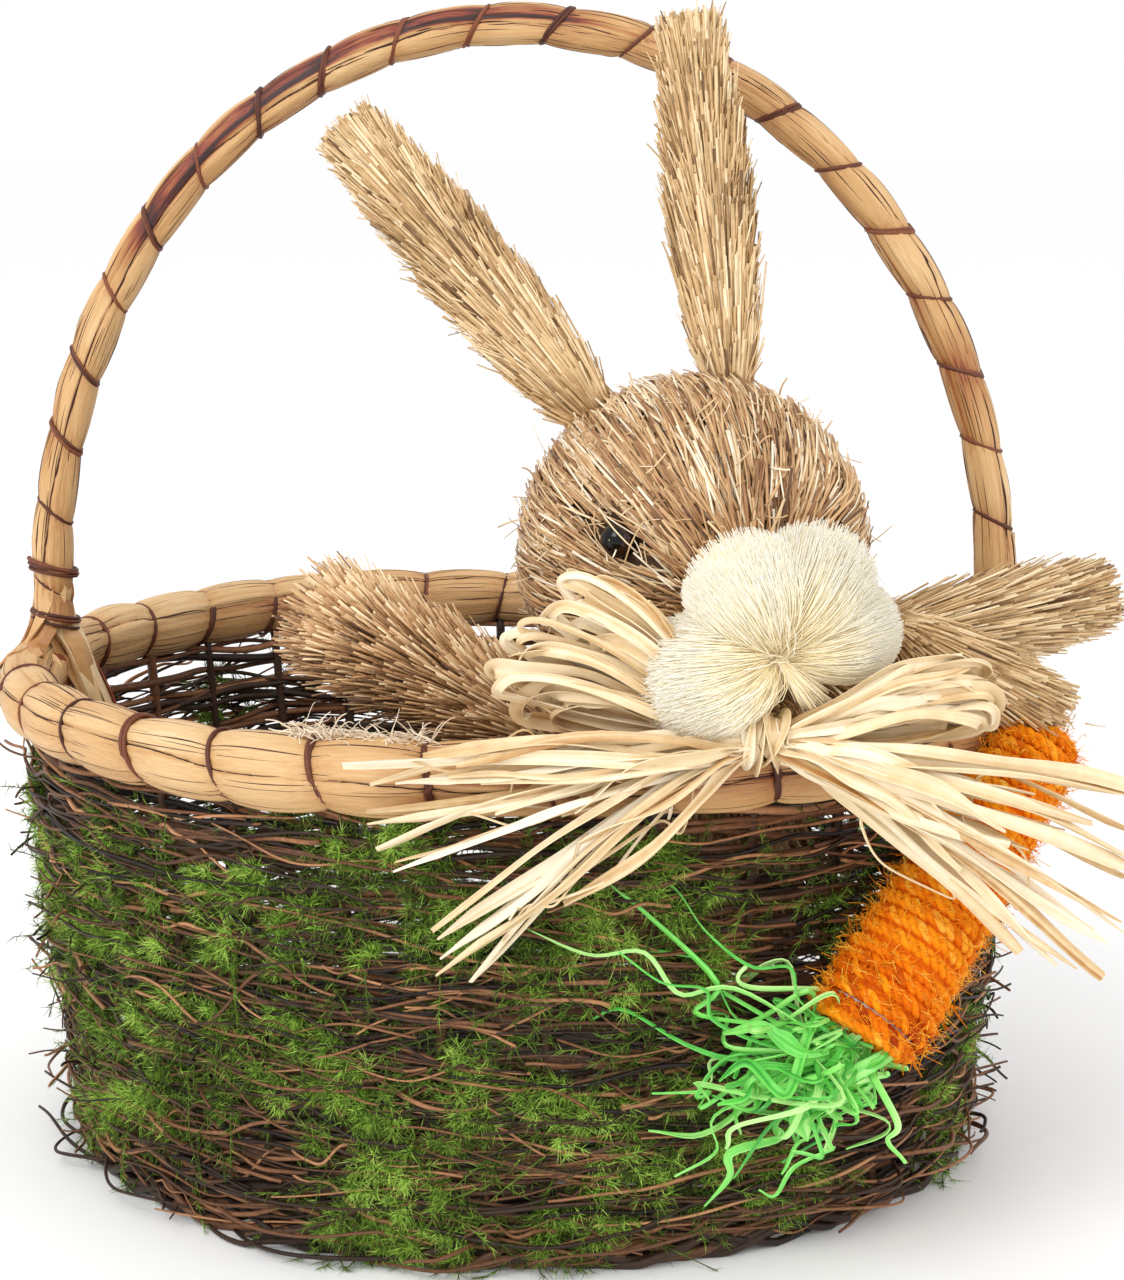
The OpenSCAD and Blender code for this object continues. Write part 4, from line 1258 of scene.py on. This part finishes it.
def carrot(rng):
    """Jute rope of three plies wound on a cone, with loose fibres."""
    centre, ring = rope_line(2700, rng)
    parts = rope_plies(centre, ring, rng)
    # The cone under the rope stands for its inner turns; its darker tone paints the shade in the gaps
    # between the turns.
    under = CARROT_TIP + CARROT_AXIS * np.linspace(1.4, CARROT_LENGTH - 1.4, 40)[:, None]
    inside = np.interp(np.linspace(0, 1, 40), [0, 0.03, 0.1, 0.88, 0.96, 1],
                       [5.0, 7.4, 9.6, 13.7, 12.0, 8.0])
    parts.append(strands(under[None], CARROT_UP, inside[None], 40, 0.25))
    make("carrot_jute", parts, JUTE, replaced=["carrot_rope"])
    make("carrot_fuzz", [rope_fuzz(centre, ring, rng)], JUTE)


def greens(rng):
    """Curled green raffia at the carrot's end."""
    root = CARROT_END + CARROT_AXIS
    curves = []
    for _ in range(74):
        aim = unit(np.array([-0.8, -0.08, -0.44]) + rng.normal(0, 0.34, 3) * [1, 0.5, 1])
        reach = rng.uniform(7, 37)
        curl = rng.normal(0, 1, 3) * reach * 0.22
        other = rng.normal(0, 1, 3) * reach * 0.2
        start = root + rng.normal(0, 4.5, 3) * [1, 0.5, 1]
        run = aim * reach
        points = np.array([start, start + run * 0.25 + curl * 0.7, start + run * 0.5 - curl + other * 0.5,
                           start + run * 0.75 + curl * 0.6 + other, start + run + other])
        points[:, 1] = np.clip(points[:, 1], -125, -96)
        curves.append(points)
    wide = []
    for aim, reach in (((-0.75, 0, 0.25), 30), ((-0.5, 0, -0.8), 30), ((-0.8, 0, -0.35), 34),
                       ((-0.2, 0, -0.95), 26)):
        side = root + rng.normal(0, 3, 3) * [1, 0.3, 1] + [0, -4, 0]
        sway = rng.normal(0, 2, (5, 3)) * [1, 0.3, 1]
        wide.append(side + unit(np.array(aim)) * reach * np.linspace(0, 1, 5)[:, None] + sway)
    ribbons("carrot_wide_leaves", wide, 2.5, rng, GREEN, k=30, kink=0.4)
    long_ones = [(-84, 32), (-62, 42), (-57, 43), (-55, 24), (-68, 2), (-50, -14), (-52, -26),
                 (-44, -36), (-38, -44), (-60, 26), (16, 12), (-24, -40), (4, -14), (-30, -36)]
    for dx, dz in long_ones:
        end = root + np.array([dx, rng.uniform(-6, 4), dz])
        steps = np.linspace(0, 1, 7)[:, None]
        sway = rng.normal(0, 3.6, (7, 3)) * [1, 0.3, 1] * np.sin(math.pi * steps) ** 0.5
        bend = UP * np.sin(math.pi * steps) * rng.uniform(-12, 8)
        points = root + (end - root) * steps + sway + bend
        points[:, 1] = np.clip(points[:, 1], -127, -96)
        curves.append(points)
    ribbons("carrot_leaves", curves, 0.85, rng, GREEN, ["carrot_greens"], kink=0.8)


def glue(rng):
    """Threads of dried glue on the rim under the left arm and where the right arm meets the carrot."""
    n, k = 240, 9
    angle = rng.uniform(1.385, 1.468, n) * math.pi
    centre, out, along = rim_frame(angle)
    theta = np.radians(rng.uniform(75, 140, n))[:, None]
    normal = np.cos(theta) * out + np.sin(theta) * UP
    start = centre + normal * (ROLL * 0.99)
    aim = unit(along * rng.choice([-1, 1], (n, 1)) + rng.normal(0, 0.5, (n, 3)) + 0.15 * normal)
    t = np.linspace(0, 1, k)[None, :, None]
    length = rng.uniform(2, 9, (n, 1, 1))
    wander = soft_noise((n, k, 3), (0, 1.6, 0), rng) * 0.7 * t
    rise = normal[:, None] * np.sin(math.pi * t) * 0.8
    rim_threads = start[:, None] + aim[:, None] * t * length + wander + rise
    start = CARROT_TIP + rng.normal(0, 3.4, (60, 3)) - CARROT_AXIS * 3
    aim = unit(rng.normal(0, 1, (60, 3)))
    length = rng.uniform(2, 6, (60, 1, 1))
    wander = soft_noise((60, k, 3), (0, 1.6, 0), rng) * 0.5 * t
    carrot_threads = start[:, None] + aim[:, None] * t * length + wander
    paths = np.concatenate([rim_threads, carrot_threads])
    radii = rng.uniform(0.12, 0.3, (len(paths), 1)) * (1 - 0.5 * t[0, :, 0])
    tone = rng.uniform(0.2, 1, len(paths))
    make("glue_threads", [strands(paths, (0.3, -0.5, 0.8), radii, 4, tone)], GLUE)


# ---- kept CAD nodes ----

def paint(name, material):
    """Gives a CAD node that stays in view its material."""
    node = frame["nodes"][name]
    node.data.materials.clear()
    node.data.materials.append(material)


def eye_material(side):
    """Glossy bead with a black pupil and a dark brown iris that looks out of the head."""
    material, tree, shader = new_material("eye_bead")
    middle = eye_place(side)
    place = add(tree, "TexCoord", {}).outputs["Object"]
    shift = add(tree, "VectorMath", {0: place, 1: middle * MM}, operation="SUBTRACT")
    out = unit(middle - HEAD) / (EYE_R * MM)
    dot = add(tree, "VectorMath", {0: shift.outputs["Vector"], 1: out}, operation="DOT_PRODUCT")
    noise = add(tree, "TexNoise", {"Vector": place, "Scale": 700})
    mix = add(tree, "Math", {0: noise.outputs["Fac"], 1: 0.08, 2: dot.outputs["Value"]},
              operation="MULTIPLY_ADD")
    stops = [(0.0, (10, 7, 6)), (0.5, (34, 18, 10)), (0.76, (52, 28, 14)), (0.84, (4, 3, 3))]
    fill(tree, shader, {"Roughness": 0.08, "Specular IOR Level": 0.3,
                        "Base Color": ramp(tree, stops, mix.outputs[0])})
    return material


def kept_nodes():
    """Materials of the CAD nodes that stay: cane, foam, wires, the carrot's tie and the eyes."""
    cane = surface("cane", [(0.0, (150, 112, 66)), (1.0, (214, 178, 126))], 0.5, (300, 0.6),
                   bump=(500, 0.3, 0.3))
    foam = surface("foam", [(0.0, (214, 208, 196)), (1.0, (244, 240, 232))], 0.9, (900, 0.5),
                   bump=(1500, 0.5, 0.4))
    wire = surface("wire", [(0.0, (70, 70, 72)), (1.0, (140, 140, 144))], 0.35, (1200, 0.4),
                   metallic=1.0)
    for name in ("rim_hoop", "handle_core", "neck_peg"):
        paint(name, cane)
    for name in ("head_form", "carrot_core"):
        paint(name, foam)
    for name in ("ear_wire_left", "ear_wire_right", "arm_wire_left", "arm_wire_right"):
        paint(name, wire)
    paint("carrot_tie", GREEN)
    paint("eye_left", eye_material(-1))
    paint("eye_right", eye_material(1))


# ---- stage ----

# Place, size and power in watts of each light.
LIGHTS = {"key": ((-0.7, -1.1, 1.3), 0.8, 12), "fill": ((1.2, -0.8, 0.7), 1.0, 3)}
LIGHT_TARGET = (0.0, 0.0, 0.13)
CAMERA_PLACE = (0.04248, -0.63003, 0.28647)
CAMERA_TARGET = (0.01219, 0.00059, 0.145)
CAMERA_LENS = 71.66
FLOOR_REACH = 30


def stage():
    """Pale floor, soft light and the camera."""
    mesh = bpy.data.meshes.new("floor_plane")
    corners = [(FLOOR_REACH * x, FLOOR_REACH * y, 0) for x, y in ((-1, -1), (1, -1), (1, 1), (-1, 1))]
    mesh.from_pydata(corners, [], [(0, 1, 2, 3)])
    material, tree, shader = new_material("floor_paint")
    fill(tree, shader, {"Base Color": (0.99, 0.99, 0.99, 1), "Roughness": 0.9})
    mesh.materials.append(material)
    plane = bpy.data.objects.new("floor_plane", mesh)
    bpy.context.collection.objects.link(plane)
    world = bpy.data.worlds.new("studio")
    world.use_nodes = True
    sky = {"Color": (1, 1, 1, 1), "Strength": 1.0}
    fill(world.node_tree, world.node_tree.nodes["Background"], sky)
    bpy.context.scene.world = world
    for name, (place, size, power) in LIGHTS.items():
        light = bpy.data.lights.new(name, "AREA")
        light.size = size
        light.energy = power
        lamp = bpy.data.objects.new(name, light)
        lamp.location = place
        bpy.context.scene.collection.objects.link(lamp)
        look(lamp, LIGHT_TARGET)
    data = bpy.data.cameras.new("camera")
    data.sensor_width = 36
    data.sensor_fit = "HORIZONTAL"
    data.lens = CAMERA_LENS
    camera = bpy.data.objects.new("camera", data)
    camera.location = CAMERA_PLACE
    bpy.context.collection.objects.link(camera)
    look(camera, CAMERA_TARGET)
    bpy.context.scene.camera = camera
    bpy.context.scene.view_settings.view_transform = "Standard"


def look(thing, target):
    """Turns a camera or light towards a point."""
    direction = np.array(target) - np.array(thing.location)
    thing.rotation_euler = Vector(direction).to_track_quat("-Z", "Y").to_euler()


# Every part draws from its own seed, so a change to one leaves the others as they are.
stage()
wall_vines(default_rng(11))
loose_vines(default_rng(12))
stakes(default_rng(13))
foot_ring(default_rng(14))
floor(default_rng(15))
moss()
rim(default_rng(31))
rim_binding(default_rng(32))
handle(default_rng(33))
lashings(default_rng(34))
head(default_rng(41))
ears(default_rng(42))
arms(default_rng(43))
bunny_body(default_rng(44))
muzzle(default_rng(51))
bow(default_rng(61))
carrot(default_rng(71))
greens(default_rng(72))
glue(default_rng(81))
kept_nodes()
